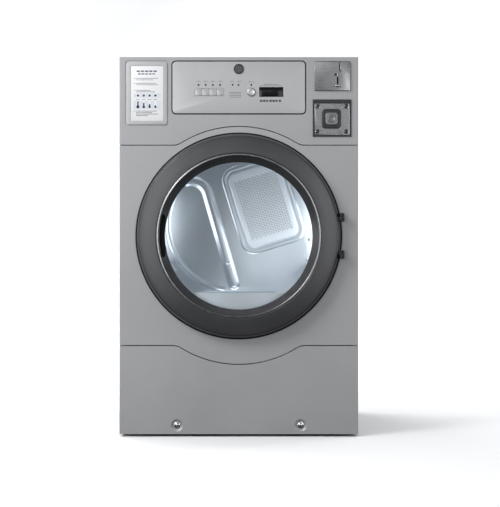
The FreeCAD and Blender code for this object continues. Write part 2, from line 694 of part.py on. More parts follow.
def control_housing():
    """The box behind the fascia, with the control board on its posts."""
    y = (FRONT + SHEET, FRONT + 48)
    x = (-FASCIA_X - 7, FASCIA_X + 7)
    z = (FASCIA_Z[0] - 8, FASCIA_Z[1] + 8)
    hollow = box(grow(x, -2), (y[0] - 1, y[1] - 2), grow(z, -2))
    housing = box(x, y, z).cut(hollow)
    for post_x in (-180, 180):
        for post_z in (1015, 1140):
            housing = housing.fuse(rod_y(4, (FRONT + 24, y[1] - 1), post_x, post_z))
    board = box((-192, 192), (FRONT + 22, FRONT + 24), (1006, 1148))
    save("control_housing", housing, board)


def badge_and_card():
    emblem = lathe([
        (0, FRONT - 3.4), (11.5, FRONT - 3.4), (12, FRONT - 4.2), (15, FRONT - 4.2),
        (15.8, FRONT - 3.2), (15.8, FRONT - 1.5), (0, FRONT - 1.5),
    ], 0, 1134)
    save("emblem_disc", emblem)
    frame = rounded_slab(CARD_FRAME_X, (FRONT - 2.5, FRONT + 3), CARD_FRAME_Z, 8)
    frame = frame.cut(box(grow(CARD_X, 0.3), (FRONT - 3, FRONT - 0.8), grow(CARD_Z, 0.3)))
    flange = rounded_slab(grow(CARD_FRAME_X, 8), (FRONT + 3, FRONT + 5), grow(CARD_FRAME_Z, 7), 12)
    save("card_frame", fused([frame, flange]))
    save("instruction_card", box(CARD_X, (FRONT - 1.7, FRONT - 0.8), CARD_Z))


def coin_entry():
    """The coin entry plate, the acceptor behind it and the coin return lever."""
    y = (FRONT - 6, FRONT)
    wall = 2.0
    plate = box(ENTRY_X, y, ENTRY_Z).cut(
        box(grow(ENTRY_X, -wall), (y[0] + wall, y[1] + 1), grow(ENTRY_Z, -wall)))
    coin_slot = prism_y([(307.6, 1153), (310.8, 1153), (313.6, 1125), (310.4, 1125)], grow(y, 1))
    lever_slot = box((LEVER_X - 2.3, LEVER_X + 2.3), grow(y, 1), (LEVER_Z - 5, LEVER_Z + 27))
    save("coin_entry_plate", plate.cut(coin_slot).cut(lever_slot))

    acceptor = box((242, 334), (FRONT + 2, FRONT + 120), (1074, 1151))
    lever_room = box((LEVER_X - 6, LEVER_X + 6), (FRONT + 1, FRONT + 16), (LEVER_Z - 7, LEVER_Z + 29))
    coin_way = prism_y([(307.6, 1155), (311.2, 1155), (314, 1124), (310.4, 1124)], (FRONT + 1, FRONT + 60))
    save("coin_acceptor", acceptor.cut(lever_room).cut(coin_way))

    stem = box((LEVER_X - 1.9, LEVER_X + 1.9), (FRONT - 12, FRONT + 10), (LEVER_Z - 3, LEVER_Z + 3))
    bar = rounded_slab((LEVER_X - 8.5, LEVER_X + 11.5), (FRONT - 14, FRONT - 10), (LEVER_Z - 3, LEVER_Z + 3), 1.5)
    heel = box((LEVER_X - 4.5, LEVER_X + 4.5), (FRONT + 6, FRONT + 12), (LEVER_Z - 4, LEVER_Z + 4))
    save("coin_return_lever", fused([stem, bar, heel]))


def coin_vault():
    """The coin vault: a heavy case with a dark square frame round its mouth."""
    wall = 2.5
    frame_y = (FRONT - 3, FRONT)
    case_y = (FRONT, FRONT + 172)
    frame = box(VAULT_X, frame_y, VAULT_Z)
    case = box(grow(VAULT_X, -2.2), case_y, grow(VAULT_Z, -2.2))
    hollow = box(grow(COIN_FACE_X, 0.5), (frame_y[0] - 1, case_y[1] - wall), grow(COIN_FACE_Z, 0.5))
    chute = box((262, 318), (FRONT + 20, FRONT + 100), (1028, 1045))
    save("coin_vault", fused([frame, case]).cut(hollow).cut(chute))


def coin_box():
    """The coin drawer with its steel face, corner bolts, bezel and lock."""
    face_y = (FRONT + 1, FRONT + 5)
    face = box(COIN_FACE_X, face_y, COIN_FACE_Z)
    tray_x = grow(COIN_FACE_X, -3)
    tray_z = (COIN_FACE_Z[0] + 2, COIN_FACE_Z[1] - 8)
    tray_y = (face_y[1], FRONT + 165)
    hollow = box(grow(tray_x, -2), (face_y[1] + 2, tray_y[1] - 2), (tray_z[0] + 2, tray_z[1] + 1))
    tray = box(tray_x, tray_y, tray_z).cut(hollow)
    bezel = rounded_slab((LOCK_X - 29, LOCK_X + 29), (FRONT - 6, face_y[0]), (LOCK_Z - 30, LOCK_Z + 30), 13)
    collar = rounded_slab((LOCK_X - 19, LOCK_X + 19), (FRONT - 9, FRONT - 6), (LOCK_Z - 19, LOCK_Z + 19), 13)
    drawer = fused([face, tray, bezel, collar])
    bolt_xs = grow(COIN_FACE_X, -11)
    bolt_zs = grow(COIN_FACE_Z, -10)
    for x in bolt_xs:
        for z in bolt_zs:
            drawer = drawer.cut(rod_y(7.5, (face_y[0] - 1, face_y[0] + 2), x, z))
            drawer = drawer.fuse(rod_y(5, (face_y[0] + 0.5, face_y[0] + 3), x, z))
    lock_y = (FRONT - 10, FRONT + 22)
    drawer = drawer.cut(rod_y(LOCK_R + RUNNING_GAP, (lock_y[0] - 1, FRONT + 12), LOCK_X, LOCK_Z))
    save("coin_box", drawer.removeSplitter())

    plug = rod_y(LOCK_R, (lock_y[0], FRONT + 8), LOCK_X, LOCK_Z)
    tail = rod_y(6, (FRONT + 8, lock_y[1]), LOCK_X, LOCK_Z)
    cam = box((-5, 22), (FRONT + 16, FRONT + 19), (-5, 5))
    cam.translate(V(LOCK_X, 0, LOCK_Z))
    key_slot = box((-1.2, 1.2), (lock_y[0] - 1, lock_y[0] + 6), (-6, 6))
    key_slot.rotate(V(0, 0, 0), Y_AXIS, 20)
    key_slot.translate(V(LOCK_X, 0, LOCK_Z))
    save("lock_cylinder", fused([plug, tail, cam]).cut(key_slot))


def door_surround():
    """The fixed black ring that the door closes onto."""
    profile = [
        (SURROUND_R, FRONT - 2.5), (SURROUND_R, FRONT), (PANEL_HOLE_R - 0.5, FRONT),
        (PANEL_HOLE_R - 0.5, FRONT + 8), (PANEL_HOLE_R - 3, FRONT + 8), (PANEL_HOLE_R - 3, FRONT),
        (264.5, FRONT), (255, FRONT + 16.5), (252.5, FRONT + 16.5), (262, FRONT - 2.5),
    ]
    surround = lathe(profile, 0, DOOR_Z)
    surround = surround.cut(box((-297, -281), (FRONT - 3, FRONT + 1), (DOOR_Z - 13, DOOR_Z + 13)))
    save("door_surround", surround.cut(rod_y(4, (FRONT - 3, FRONT + 1), PLUNGER_X, DOOR_Z + 53)))


def door_ring_shell():
    """The door's outer ring: rounded rim, crowned face and the bevel down to the glass."""
    def at(r, y):
        return V(r, FRONT + y, DOOR_Z)

    rim = Part.Arc(at(DOOR_R, -29), at(DOOR_R - 3.2, -36.8), at(DOOR_R - 11, -40)).toShape()
    crown = Part.Arc(at(DOOR_R - 11, -40), at(278, -43), at(FACE_INNER_R, -42)).toShape()
    outer = [at(FACE_INNER_R, -42), at(FACE_INNER_R, -40), at(246, -40), at(GLASS_OPENING_R, -17),
             at(GLASS_OPENING_R, -13)]
    inner = [at(GLASS_OPENING_R + DOOR_WALL, -13), at(249, -36.5), at(DOOR_R - 12, -36.5),
             at(DOOR_R - DOOR_WALL, -28), at(DOOR_R - DOOR_WALL, -5), at(DOOR_R, -5), at(DOOR_R, -29)]
    chain = Part.makePolygon(outer + inner).Edges
    wire = Part.Wire(Part.__sortEdges__([rim, crown] + chain))
    return Part.Face(wire).revolve(V(0, 0, DOOR_Z), Y_AXIS, 360)


def door_outer_ring():
    """The ring, with its finger pocket at the left and clearance for the hinge at the right."""
    ring = door_ring_shell()
    pocket_z = (DOOR_Z - PULL_HALF_HEIGHT, DOOR_Z + PULL_HALF_HEIGHT)
    throat = tube_y(243.5, 229, (FRONT - 40.5, FRONT - 12), 0, DOOR_Z)
    throat = throat.common(box((-250, -200), (FRONT - 42, FRONT), pocket_z))
    ring = ring.cut(throat)
    for side in (-1, 1):
        span = sorted((DOOR_Z + side * (LEAF_KNUCKLE_Z[0] - 1), DOOR_Z + side * (LUG_Z[1] + 2)))
        ring = ring.cut(rod_z(11, span, HINGE_X, HINGE_Y))
        back = box((HINGE_X - 11, HINGE_X + 11), (HINGE_Y, FRONT), span)
        ring = ring.cut(back)
    save("door_outer_ring", ring)


def door_pull_cup():
    """The dark cup behind the finger pocket, open towards the glass."""
    cup_z = (DOOR_Z - PULL_HALF_HEIGHT - 2, DOOR_Z + PULL_HALF_HEIGHT + 2)
    block = box((-276, -231), (FRONT - 36, FRONT - 13.2), cup_z)
    room = box((-273, -225), (FRONT - 33, FRONT - 16), grow(cup_z, -2))
    block = block.cut(room)
    keep = tube_y(300, 232, (FRONT - 40, FRONT - 10), 0, DOOR_Z)
    cone = lathe([(0, FRONT - 13.1), (229.6, FRONT - 13.1), (249.6, FRONT - 36.6), (249.6, FRONT - 41),
                  (0, FRONT - 41)], 0, DOOR_Z)
    save("door_pull_cup", block.common(keep).cut(cone))


def door_parts():
    trim = lathe([
        (246.4, FRONT - 40), (246.4, FRONT - 42), (248, FRONT - 43), (250.6, FRONT - 43),
        (252.2, FRONT - 42), (252.2, FRONT - 40),
    ], 0, DOOR_Z)
    save("door_trim_ring", trim)
    save("door_glass", rod_y(240, (FRONT - 13, FRONT - 8), 0, DOOR_Z))
    flange = tube_y(309, 234, (FRONT - 8, FRONT - 6.5), 0, DOOR_Z)
    for side in (-1, 1):
        span = sorted((DOOR_Z + side * (LEAF_KNUCKLE_Z[0] - 1), DOOR_Z + side * (LUG_Z[1] + 2)))
        flange = flange.cut(box((HINGE_X - 12, HINGE_X + 12), (FRONT - 12, FRONT), span))
    strike = box((-292, -286), (FRONT - 6.5, FRONT + 12), (DOOR_Z - 8, DOOR_Z + 8))
    save("door_inner_frame", flange, strike)
    bulb_seal = tube_y(281, 268, (FRONT - 6.5, FRONT - 2.9), 0, DOOR_Z)
    glass_seal = tube_y(234, 232, (FRONT - 8, FRONT + 14), 0, DOOR_Z)
    save("door_gasket", bulb_seal, glass_seal)


def hinge():
    """The fixed bracket with its pins, and the leaf that carries the door."""
    bracket = []
    leaf = [box((262, 298), (FRONT - 11, FRONT - 8), (DOOR_Z - 70, DOOR_Z + 70))]
    for side in (-1, 1):
        lug = sorted((DOOR_Z + side * LUG_Z[0], DOOR_Z + side * LUG_Z[1]))
        knuckle = sorted((DOOR_Z + side * LEAF_KNUCKLE_Z[0], DOOR_Z + side * LEAF_KNUCKLE_Z[1]))
        pin = sorted((DOOR_Z + side * (LEAF_KNUCKLE_Z[0] - 2), DOOR_Z + side * LUG_Z[1]))
        bracket.append(rod_z(KNUCKLE_R, lug, HINGE_X, HINGE_Y))
        bracket.append(box((HINGE_X - 5, HINGE_X + 6), (HINGE_Y, FRONT - 2.5), lug))
        bracket.append(rod_z(HINGE_PIN_R, pin, HINGE_X, HINGE_Y))
        arm = box((290, HINGE_X), (HINGE_Y - 4, HINGE_Y + 4), knuckle)
        back = box((290, 298), (HINGE_Y - 4, FRONT - 8), knuckle)
        bore = rod_z(HINGE_PIN_R + RUNNING_GAP, knuckle, HINGE_X, HINGE_Y)
        leaf.append(fused([rod_z(KNUCKLE_R, knuckle, HINGE_X, HINGE_Y), arm, back]).cut(bore))
    lower = fused(bracket[:3])
    upper = fused(bracket[3:])
    save("hinge_bracket", lower, upper)
    save("hinge_leaf", fused(leaf))


def door_catch():
    """The roller catch behind the surround, with the door switch and its plunger."""
    jaws = [
        box((-300, -279), (FRONT + 14, FRONT + 36), (DOOR_Z - 20, DOOR_Z + 20)).cut(
            box((-295, -283), (FRONT + 13, FRONT + 30), (DOOR_Z - 11, DOOR_Z + 11))),
        box((-300, -279), (FRONT + 14, FRONT + 36), (DOOR_Z + 40, DOOR_Z + 66)).cut(
            rod_y(3 + RUNNING_GAP, (FRONT + 13, FRONT + 30), PLUNGER_X, DOOR_Z + 53)),
    ]
    save("door_catch", *jaws)
    save("switch_plunger", rod_y(3, (FRONT - 6.1, FRONT + 24), PLUNGER_X, DOOR_Z + 53))


def main():
    os.makedirs("parts", exist_ok=True)
    upper_front_panel()
    door_panel()
    kick_panel()
    side_panels()
    top_cover()
    rear_panel()
    base_pan()
    feet()
    front_bulkhead()
    rear_bulkhead()
    felt_seals()
    drum()
    rollers()
    lint_path()
    blower()
    exhaust_duct()
    heater()
    motor()
    drive_belt()
    idler()
    control_fascia()
    display_window()
    control_buttons()
    control_housing()
    badge_and_card()
    coin_entry()
    coin_vault()
    coin_box()
    door_surround()
    door_outer_ring()
    door_pull_cup()
    door_parts()
    hinge()
    door_catch()


main()
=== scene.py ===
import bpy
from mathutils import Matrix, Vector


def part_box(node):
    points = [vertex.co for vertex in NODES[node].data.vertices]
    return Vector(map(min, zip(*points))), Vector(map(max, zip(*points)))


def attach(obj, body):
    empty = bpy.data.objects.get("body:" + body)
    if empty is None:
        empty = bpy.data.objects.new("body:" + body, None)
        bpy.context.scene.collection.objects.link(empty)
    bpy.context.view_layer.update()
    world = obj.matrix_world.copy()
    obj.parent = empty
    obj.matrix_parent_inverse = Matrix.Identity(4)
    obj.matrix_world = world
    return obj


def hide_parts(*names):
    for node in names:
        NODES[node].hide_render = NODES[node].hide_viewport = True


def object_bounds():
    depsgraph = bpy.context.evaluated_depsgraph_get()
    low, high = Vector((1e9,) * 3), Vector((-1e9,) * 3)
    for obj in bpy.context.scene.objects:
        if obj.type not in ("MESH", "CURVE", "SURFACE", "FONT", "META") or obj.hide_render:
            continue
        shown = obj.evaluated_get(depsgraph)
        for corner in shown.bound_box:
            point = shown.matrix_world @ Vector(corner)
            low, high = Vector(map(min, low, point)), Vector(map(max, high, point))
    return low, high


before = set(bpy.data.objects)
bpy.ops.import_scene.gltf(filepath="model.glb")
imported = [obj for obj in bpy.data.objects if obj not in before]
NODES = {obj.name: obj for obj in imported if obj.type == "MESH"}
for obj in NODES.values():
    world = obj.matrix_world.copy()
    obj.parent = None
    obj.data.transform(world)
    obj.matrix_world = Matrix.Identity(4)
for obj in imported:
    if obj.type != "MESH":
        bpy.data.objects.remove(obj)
cad_box = [list(corner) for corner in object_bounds()]

import math

import bmesh
import bpy
from mathutils import Vector

# Commercial coin-operated tumble dryer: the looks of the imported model, in metres.
# +Z is up, the front faces -Y and +X is to the viewer's right.

MM = 0.001
TAU = 2 * math.pi
SAME = 1e-6  # Two places this near are one
DOUBLE = 0.000005  # Verts this near are merged


def middle(node):
    """The centre of a CAD node's box."""
    low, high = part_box(node)
    return (low + high) / 2


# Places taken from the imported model
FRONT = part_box("kick_panel")[0].y
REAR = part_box("rear_panel")[1].y
DOOR_X = middle("door_gasket").x
DOOR_Z = middle("door_gasket").z
DOOR_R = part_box("door_outer_ring")[1].z - DOOR_Z
DOOR_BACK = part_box("door_outer_ring")[1].y
DRUM_Z = middle("drum_shell").z
DRUM_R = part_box("drum_shell")[1].z - DRUM_Z
DRUM_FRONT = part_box("drum_shell")[0].y
DRUM_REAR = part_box("drum_shell")[1].y
WALL_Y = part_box("rear_bulkhead")[1].y - 2 * MM

# Modelling helpers ---------------------------------------------------------


def mm(*values):
    """Millimetres as metres."""
    return tuple(value * MM for value in values)


def all_mm(points):
    return [mm(*point) for point in points]


def on(face, *points):
    """A profile of (radius, distance) points in millimetres, the distance taken from a face's place."""
    return [(radius * MM, face + away * MM) for radius, away in points]


def rod(radius, start, end):
    """The profile of a plain round rod from start to end."""
    return [(0, start), (radius, start), (radius, end), (0, end)]


def past(place, *steps):
    """Places that lie some millimetres past a given one."""
    return tuple(place + step * MM for step in steps)


def around(place, margin):
    return (place - margin, place + margin)


def clear():
    """Nothing selected, in object mode."""
    if bpy.context.mode != "OBJECT":
        bpy.ops.object.mode_set(mode="OBJECT")
    bpy.ops.object.select_all(action="DESELECT")


def work_on(piece):
    clear()
    piece.select_set(True)
    bpy.context.view_layer.objects.active = piece


def open_mesh(piece, mode="VERT"):
    """The piece in edit mode, all of it selected."""
    work_on(piece)
    bpy.ops.object.mode_set(mode="EDIT")
    bpy.ops.mesh.select_mode(type=mode)
    bpy.ops.mesh.select_all(action="SELECT")


def close_mesh():
    bpy.ops.object.mode_set(mode="OBJECT")


def choose_edges(test):
    """Selects only those edges of the open mesh that pass a test."""
    bpy.ops.mesh.select_mode(type="EDGE")
    bpy.ops.mesh.select_all(action="DESELECT")
    data = bpy.context.edit_object.data
    mesh = bmesh.from_edit_mesh(data)
    for edge in mesh.edges:
        if test(edge):
            edge.select_set(True)
    mesh.select_flush_mode()
    bmesh.update_edit_mesh(data)


def tidy_shell():
    """Merges doubles of the open mesh and turns its faces outwards."""
    bpy.ops.mesh.select_all(action="SELECT")
    bpy.ops.mesh.remove_doubles(threshold=DOUBLE)
    bpy.ops.mesh.normals_make_consistent(inside=False)
    close_mesh()


def dot(name, place):
    """A new piece in edit mode with one vertex at a place, ready to be extruded."""
    clear()
    bpy.ops.mesh.primitive_plane_add(size=0.001)
    piece = bpy.context.object
    piece.name = piece.data.name = name
    bpy.ops.object.mode_set(mode="EDIT")
    bpy.ops.mesh.select_mode(type="VERT")
    bpy.ops.mesh.select_all(action="SELECT")
    bpy.ops.mesh.merge(type="CENTER")
    bpy.ops.transform.translate(value=place)
    return piece


def draw_line(points):
    """Extrudes the selected vertex of the open mesh along a list of points."""
    for start, end in zip(points, points[1:]):
        bpy.ops.mesh.extrude_vertices_move(
            TRANSFORM_OT_translate={"value": Vector(end) - Vector(start)})


def eased(points, radius, steps=4, loop=False):
    """The same outline with each corner rounded off."""
    points = [Vector(p) for p in points]
    count = len(points)
    outline = []
    for index, corner in enumerate(points):
        if not loop and index in (0, count - 1):
            outline.append(corner)
            continue
        before = points[index - 1] - corner
        after = points[(index + 1) % count] - corner
        start = corner + before.normalized() * min(radius, before.length * 0.49)
        end = corner + after.normalized() * min(radius, after.length * 0.49)
        for step in range(steps + 1):
            t = step / steps
            outline.append(start * (1 - t) ** 2 + corner * 2 * t * (1 - t) + end * t ** 2)
    return outline


def turned(name, profile, x=DOOR_X, z=DOOR_Z, steps=160, ease=0.0, loop=False):
    """A profile of (radius, y) points turned about a line along Y."""
    if ease:
        profile = eased([(r, y, 0) for r, y in profile], ease, loop=loop)
        profile = [(p[0], p[1]) for p in profile]
    if loop:
        profile = list(profile) + [profile[0]]
    path = [(x + r, y, z) for r, y in profile]
    piece = dot(name, path[0])
    draw_line(path)
    bpy.ops.mesh.select_all(action="SELECT")
    bpy.ops.mesh.spin(steps=steps, angle=TAU, center=(x, 0, z), axis=(0, 1, 0))
    tidy_shell()
    return piece


def turned_up(name, profile, x, y, steps=32):
    """A profile of (radius, z) points turned about a line along Z."""
    path = [(x + r, y, z) for r, z in profile]
    piece = dot(name, path[0])
    draw_line(path)
    bpy.ops.mesh.select_all(action="SELECT")
    bpy.ops.mesh.spin(steps=steps, angle=TAU, center=(x, y, 0), axis=(0, 0, 1))
    tidy_shell()
    return piece


def bead(name, path, section, y):
    """A closed (sideways, outwards) section carried along a path of (x, z) points on a wall at y."""
    cross = dot("bead_section", (*section[0], 0))
    draw_line([(*point, 0) for point in list(section) + [section[0]]])
    bpy.ops.mesh.select_all(action="SELECT")
    bpy.ops.mesh.remove_doubles(threshold=DOUBLE)
    close_mesh()
    bpy.ops.object.convert(target="CURVE")
    piece = dot(name, (*path[0], 0))
    draw_line([(*point, 0) for point in path])
    close_mesh()
    bpy.ops.object.convert(target="CURVE")
    piece = bpy.context.object
    piece.data.dimensions = "2D"
    piece.data.bevel_mode = "OBJECT"
    piece.data.bevel_object = cross
    piece.data.use_fill_caps = True
    bpy.ops.object.convert(target="MESH")
    piece = bpy.context.object
    bpy.data.objects.remove(cross)
    open_mesh(piece)
    stand_up()
    bpy.ops.transform.translate(value=(0, y, 0))
    tidy_shell()
    return piece


def stand_up():
    """Turns the open mesh's selection so that its Y points up and its Z points to the front."""
    bpy.ops.transform.rotate(value=-math.pi / 2, orient_axis="X", center_override=(0, 0, 0))


def block(name, x, y, z, soft=0.5 * MM, segments=2):
    """A block between the low and high value on each axis, with softened edges."""
    clear()
    bpy.ops.mesh.primitive_cube_add(size=1)
    piece = bpy.context.object
    piece.name = piece.data.name = name
    open_mesh(piece, "EDGE")
    bpy.ops.transform.resize(value=(x[1] - x[0], y[1] - y[0], z[1] - z[0]))
    bpy.ops.transform.translate(value=((x[0] + x[1]) / 2, (y[0] + y[1]) / 2, (z[0] + z[1]) / 2))
    if soft:
        bpy.ops.mesh.bevel(offset=soft, segments=segments, affect="EDGES", profile=0.5)
    close_mesh()
    return piece


def slab(name, outline, y, soft=0.5 * MM, segments=2, both=False):
    """A closed outline of (x, z) points carried along Y, its front edge softened."""
    path = [(px, y[0], pz) for px, pz in outline]
    piece = dot(name, path[0])
    draw_line(path + path[:1])
    bpy.ops.mesh.select_all(action="SELECT")
    bpy.ops.mesh.remove_doubles(threshold=DOUBLE)
    bpy.ops.mesh.edge_face_add()
    bpy.ops.mesh.extrude_region_move(TRANSFORM_OT_translate={"value": (0, y[1] - y[0], 0)})
    if soft:
        ends = y if both else y[:1]
        choose_edges(lambda e: any(abs(v - e.verts[0].co.y) < SAME and abs(v - e.verts[1].co.y) < SAME
                                   for v in ends))
        bpy.ops.mesh.bevel(offset=soft, segments=segments, affect="EDGES", profile=0.5)
    tidy_shell()
    return piece


def frame_outline(x, z, radius, steps=6):
    """The corners of a rectangle with round corners, as (x, z) points."""
    points = []
    for cx, cz, start in ((x[1] - radius, z[1] - radius, 0), (x[0] + radius, z[1] - radius, 90),
                          (x[0] + radius, z[0] + radius, 180), (x[1] - radius, z[0] + radius, 270)):
        for step in range(steps + 1):
            angle = math.radians(start + 90 * step / steps)
            points.append((cx + radius * math.cos(angle), cz + radius * math.sin(angle)))
    return points


def grow(span, margin):
    return (span[0] - margin, span[1] + margin)


def sides(low, high, margin=0.0):
    """A box's reach across and up, grown by a margin."""
    return grow((low.x, high.x), margin), grow((low.z, high.z), margin)


def moved(piece, x=0.0, y=0.0, z=0.0, turn=0.0, about=(0, 0, 0), axis="Y"):
    """Turns a piece's mesh about a point, anticlockwise seen from the axis's near end, then shifts it."""
    open_mesh(piece)
    if turn:
        bpy.ops.transform.rotate(value=math.radians(turn), orient_axis=axis, center_override=about)
    if x or y or z:
        bpy.ops.transform.translate(value=(x, y, z))
    close_mesh()
    return piece


def joined(name, *pieces):
    clear()
    for piece in pieces:
        piece.select_set(True)
    bpy.context.view_layer.objects.active = pieces[0]
    if len(pieces) > 1:
        bpy.ops.object.join()
    whole = bpy.context.object
    whole.name = whole.data.name = name
    return whole


def cut_away(piece, *tools):
    """Cuts tool shapes out of a piece and throws the tools away."""
    for tool in tools:
        work_on(piece)
        knife = piece.modifiers.new("cut", "BOOLEAN")
        knife.operation = "DIFFERENCE"
        knife.solver = "EXACT"
        knife.object = tool
        bpy.ops.object.modifier_apply(modifier=knife.name)
        bpy.data.objects.remove(tool)
    return piece


def fit(piece, material, stands_for=(), angle=35, body="cabinet"):
    """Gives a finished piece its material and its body."""
    work_on(piece)
    bpy.ops.object.shade_smooth_by_angle(angle=math.radians(angle))
    piece.data.materials.clear()
    piece.data.materials.append(material)
    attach(piece, body)
    if stands_for:
        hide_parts(*stands_for)
    return piece


# Material effects, shared as node groups -------------------------------------


def add(tree, kind, inputs=None, **settings):
    """A new node with its settings, and its inputs linked or set."""
    node = tree.nodes.new(kind)
    for key, value in settings.items():
        setattr(node, key, value)
    for key, value in (inputs or {}).items():
        if isinstance(value, bpy.types.NodeSocket):
            tree.links.new(value, node.inputs[key])
        else:
            node.inputs[key].default_value = value
    return node


def maths(tree, operation, first, second, clamp=False):
    node = add(tree, "ShaderNodeMath", {0: first, 1: second}, operation=operation, use_clamp=clamp)
    return node.outputs[0]


def span_of(tree, value, low, high, start=0.0, end=1.0):
    """The value from 0…1 (or start…end) mapped to low…high."""
    node = add(tree, "ShaderNodeMapRange", {0: value, 1: start, 2: end, 3: low, 4: high})
    return node.outputs[0]


def blend_of(tree, factor, first, second):
    """A mix of two colours."""
    node = add(tree, "ShaderNodeMix", {0: factor}, data_type="RGBA")
    for socket, value in ((node.inputs[6], first), (node.inputs[7], second)):
        if isinstance(value, bpy.types.NodeSocket):
            tree.links.new(value, socket)
        else:
            socket.default_value = (*value, 1)
    return node.outputs[2]


def new_effect(name, inputs, outputs):
    """A shader node group with named number inputs, a vector input and named outputs."""
    group = bpy.data.node_groups.new(name, "ShaderNodeTree")
    group.interface.new_socket("Vector", in_out="INPUT", socket_type="NodeSocketVector")
    for label, value in inputs:
        socket = group.interface.new_socket(label, in_out="INPUT", socket_type="NodeSocketFloat")
        socket.default_value = value
    for label in outputs:
        group.interface.new_socket(label, in_out="OUTPUT", socket_type="NodeSocketFloat")
    given = add(group, "NodeGroupInput").outputs
    return group, given, given["Vector"], add(group, "NodeGroupOutput")


def noise(tree, vector, scale, detail=2.0, rough=0.5):
    return add(tree, "ShaderNodeTexNoise",
               {"Vector": vector, "Scale": scale, "Detail": detail, "Roughness": rough}).outputs[0]


def make_powder_coat():
    """Baked powder: a fine orange peel, and a faint broad mottle."""
    group, given, at, out = new_effect("powder_coat", (("Peel", 700.0), ("Mottle", 5.0)),
                                       ("Height", "Mottle"))
    peel = noise(group, at, given["Peel"], 1.5)
    mottle = noise(group, at, given["Mottle"], 4.0, 0.6)
    group.links.new(peel, out.inputs["Height"])
    group.links.new(span_of(group, mottle, 0, 1, 0.3, 0.7), out.inputs["Mottle"])
    return group


def make_brush_lines():
    """Fine parallel lines along X of the given vector, with broad smudges of gloss."""
    group, given, at, out = new_effect("brush_lines", (("Fineness", 2600.0), ("Length", 14.0)),
                                   ("Height", "Streak"))
    squeeze = add(group, "ShaderNodeCombineXYZ",
                  {0: given["Length"], 1: given["Fineness"], 2: given["Fineness"]})
    stretched = add(group, "ShaderNodeVectorMath",
                    {0: at, 1: squeeze.outputs[0]}, operation="MULTIPLY").outputs[0]
    lines = noise(group, stretched, 1.0, 3.0, 0.7)
    smudges = noise(group, at, 11.0, 4.0, 0.6)
    both = maths(group, "ADD", lines, smudges)
    group.links.new(lines, out.inputs["Height"])
    group.links.new(span_of(group, both, 0, 1, 0.75, 1.25), out.inputs["Streak"])
    return group


def make_worn_edges():
    """Where edges are rubbed: corners found by rounding the normal, broken up by noise."""
    group, given, at, out = new_effect("worn_edges", (("Reach", 0.0012), ("Break Up", 160.0)), ("Wear",))
    rounded = add(group, "ShaderNodeBevel", {"Radius": given["Reach"]}, samples=4)
    flat = add(group, "ShaderNodeNewGeometry")
    same = add(group, "ShaderNodeVectorMath", {0: rounded.outputs[0], 1: flat.outputs["Normal"]},
               operation="DOT_PRODUCT").outputs["Value"]
    corner = span_of(group, same, 1, 0, 0.80, 0.985)
    patches = noise(group, at, given["Break Up"], 3.0, 0.7)
    worn = maths(group, "MULTIPLY", corner, span_of(group, patches, 0, 1, 0.42, 0.62), clamp=True)
    group.links.new(worn, out.inputs["Wear"])
    return group


def make_settled_dust():
    """Thin dust on faces that look up."""
    group, given, at, out = new_effect("settled_dust", (("Patch Size", 26.0),), ("Dust",))
    facing = add(group, "ShaderNodeSeparateXYZ", {0: add(group, "ShaderNodeNewGeometry").outputs["Normal"]})
    up = span_of(group, facing.outputs["Z"], 0, 1, 0.35, 0.95)
    patches = noise(group, at, given["Patch Size"], 5.0, 0.65)
    dust = maths(group, "MULTIPLY", up, span_of(group, patches, 0.25, 1, 0.35, 0.65), clamp=True)
    group.links.new(dust, out.inputs["Dust"])
    return group


def make_moulded_skin():
    """The fine leather-like skin of moulded plastic and rubber."""
    group, given, at, out = new_effect("moulded_skin", (("Pebble", 900.0),), ("Height", "Haze"))
    cells = add(group, "ShaderNodeTexVoronoi", {"Vector": at, "Scale": given["Pebble"]},
                feature="SMOOTH_F1").outputs["Distance"]
    haze = noise(group, at, 18.0, 4.0, 0.6)
    group.links.new(cells, out.inputs["Height"])
    group.links.new(span_of(group, haze, 0, 1, 0.3, 0.7), out.inputs["Haze"])
    return group


def make_zinc_spangle():
    """The crystal patches of hot-dipped zinc."""
    group, given, at, out = new_effect("zinc_spangle", (("Crystal", 70.0),), ("Spangle", "Height"))
    crystal = add(group, "ShaderNodeTexVoronoi", {"Vector": at, "Scale": given["Crystal"]})
    tone = add(group, "ShaderNodeSeparateColor", {0: crystal.outputs["Color"]}).outputs[0]
    group.links.new(tone, out.inputs["Spangle"])
    group.links.new(noise(group, at, 300.0, 3.0), out.inputs["Height"])
    return group


EFFECTS = {
    "powder": make_powder_coat(),
    "brushed": make_brush_lines(),
    "edges": make_worn_edges(),
    "dust": make_settled_dust(),
    "skin": make_moulded_skin(),
    "zinc": make_zinc_spangle(),
}


def effect(tree, name, vector, **values):
    """One of the shared effects, placed in a material with its own values."""
    node = add(tree, "ShaderNodeGroup", node_tree=EFFECTS[name])
    tree.links.new(vector, node.inputs["Vector"])
    for label, value in values.items():
        node.inputs[label.replace("_", " ")].default_value = value
    return node.outputs


def new_material(name):
    """A material with its tree, its main shader and its object coordinates."""
    material = bpy.data.materials.new(name)
    material.use_nodes = True
    tree = material.node_tree
    return material, tree, tree.nodes["Principled BSDF"], add(tree, "ShaderNodeTexCoord").outputs["Object"]


def feed(tree, shader, colour, rough, **values):
    """Links a shader's colour and roughness, and sets its other values."""
    tree.links.new(colour, shader.inputs["Base Color"])
    tree.links.new(rough, shader.inputs["Roughness"])
    for label, value in values.items():
        shader.inputs[label.replace("_", " ")].default_value = value


def raise_surface(tree, shader, height, strength, depth):
    bump = add(tree, "ShaderNodeBump", {"Height": height, "Strength": strength, "Distance": depth})
    tree.links.new(bump.outputs[0], shader.inputs["Normal"])


# Materials --------------------------------------------------------------------


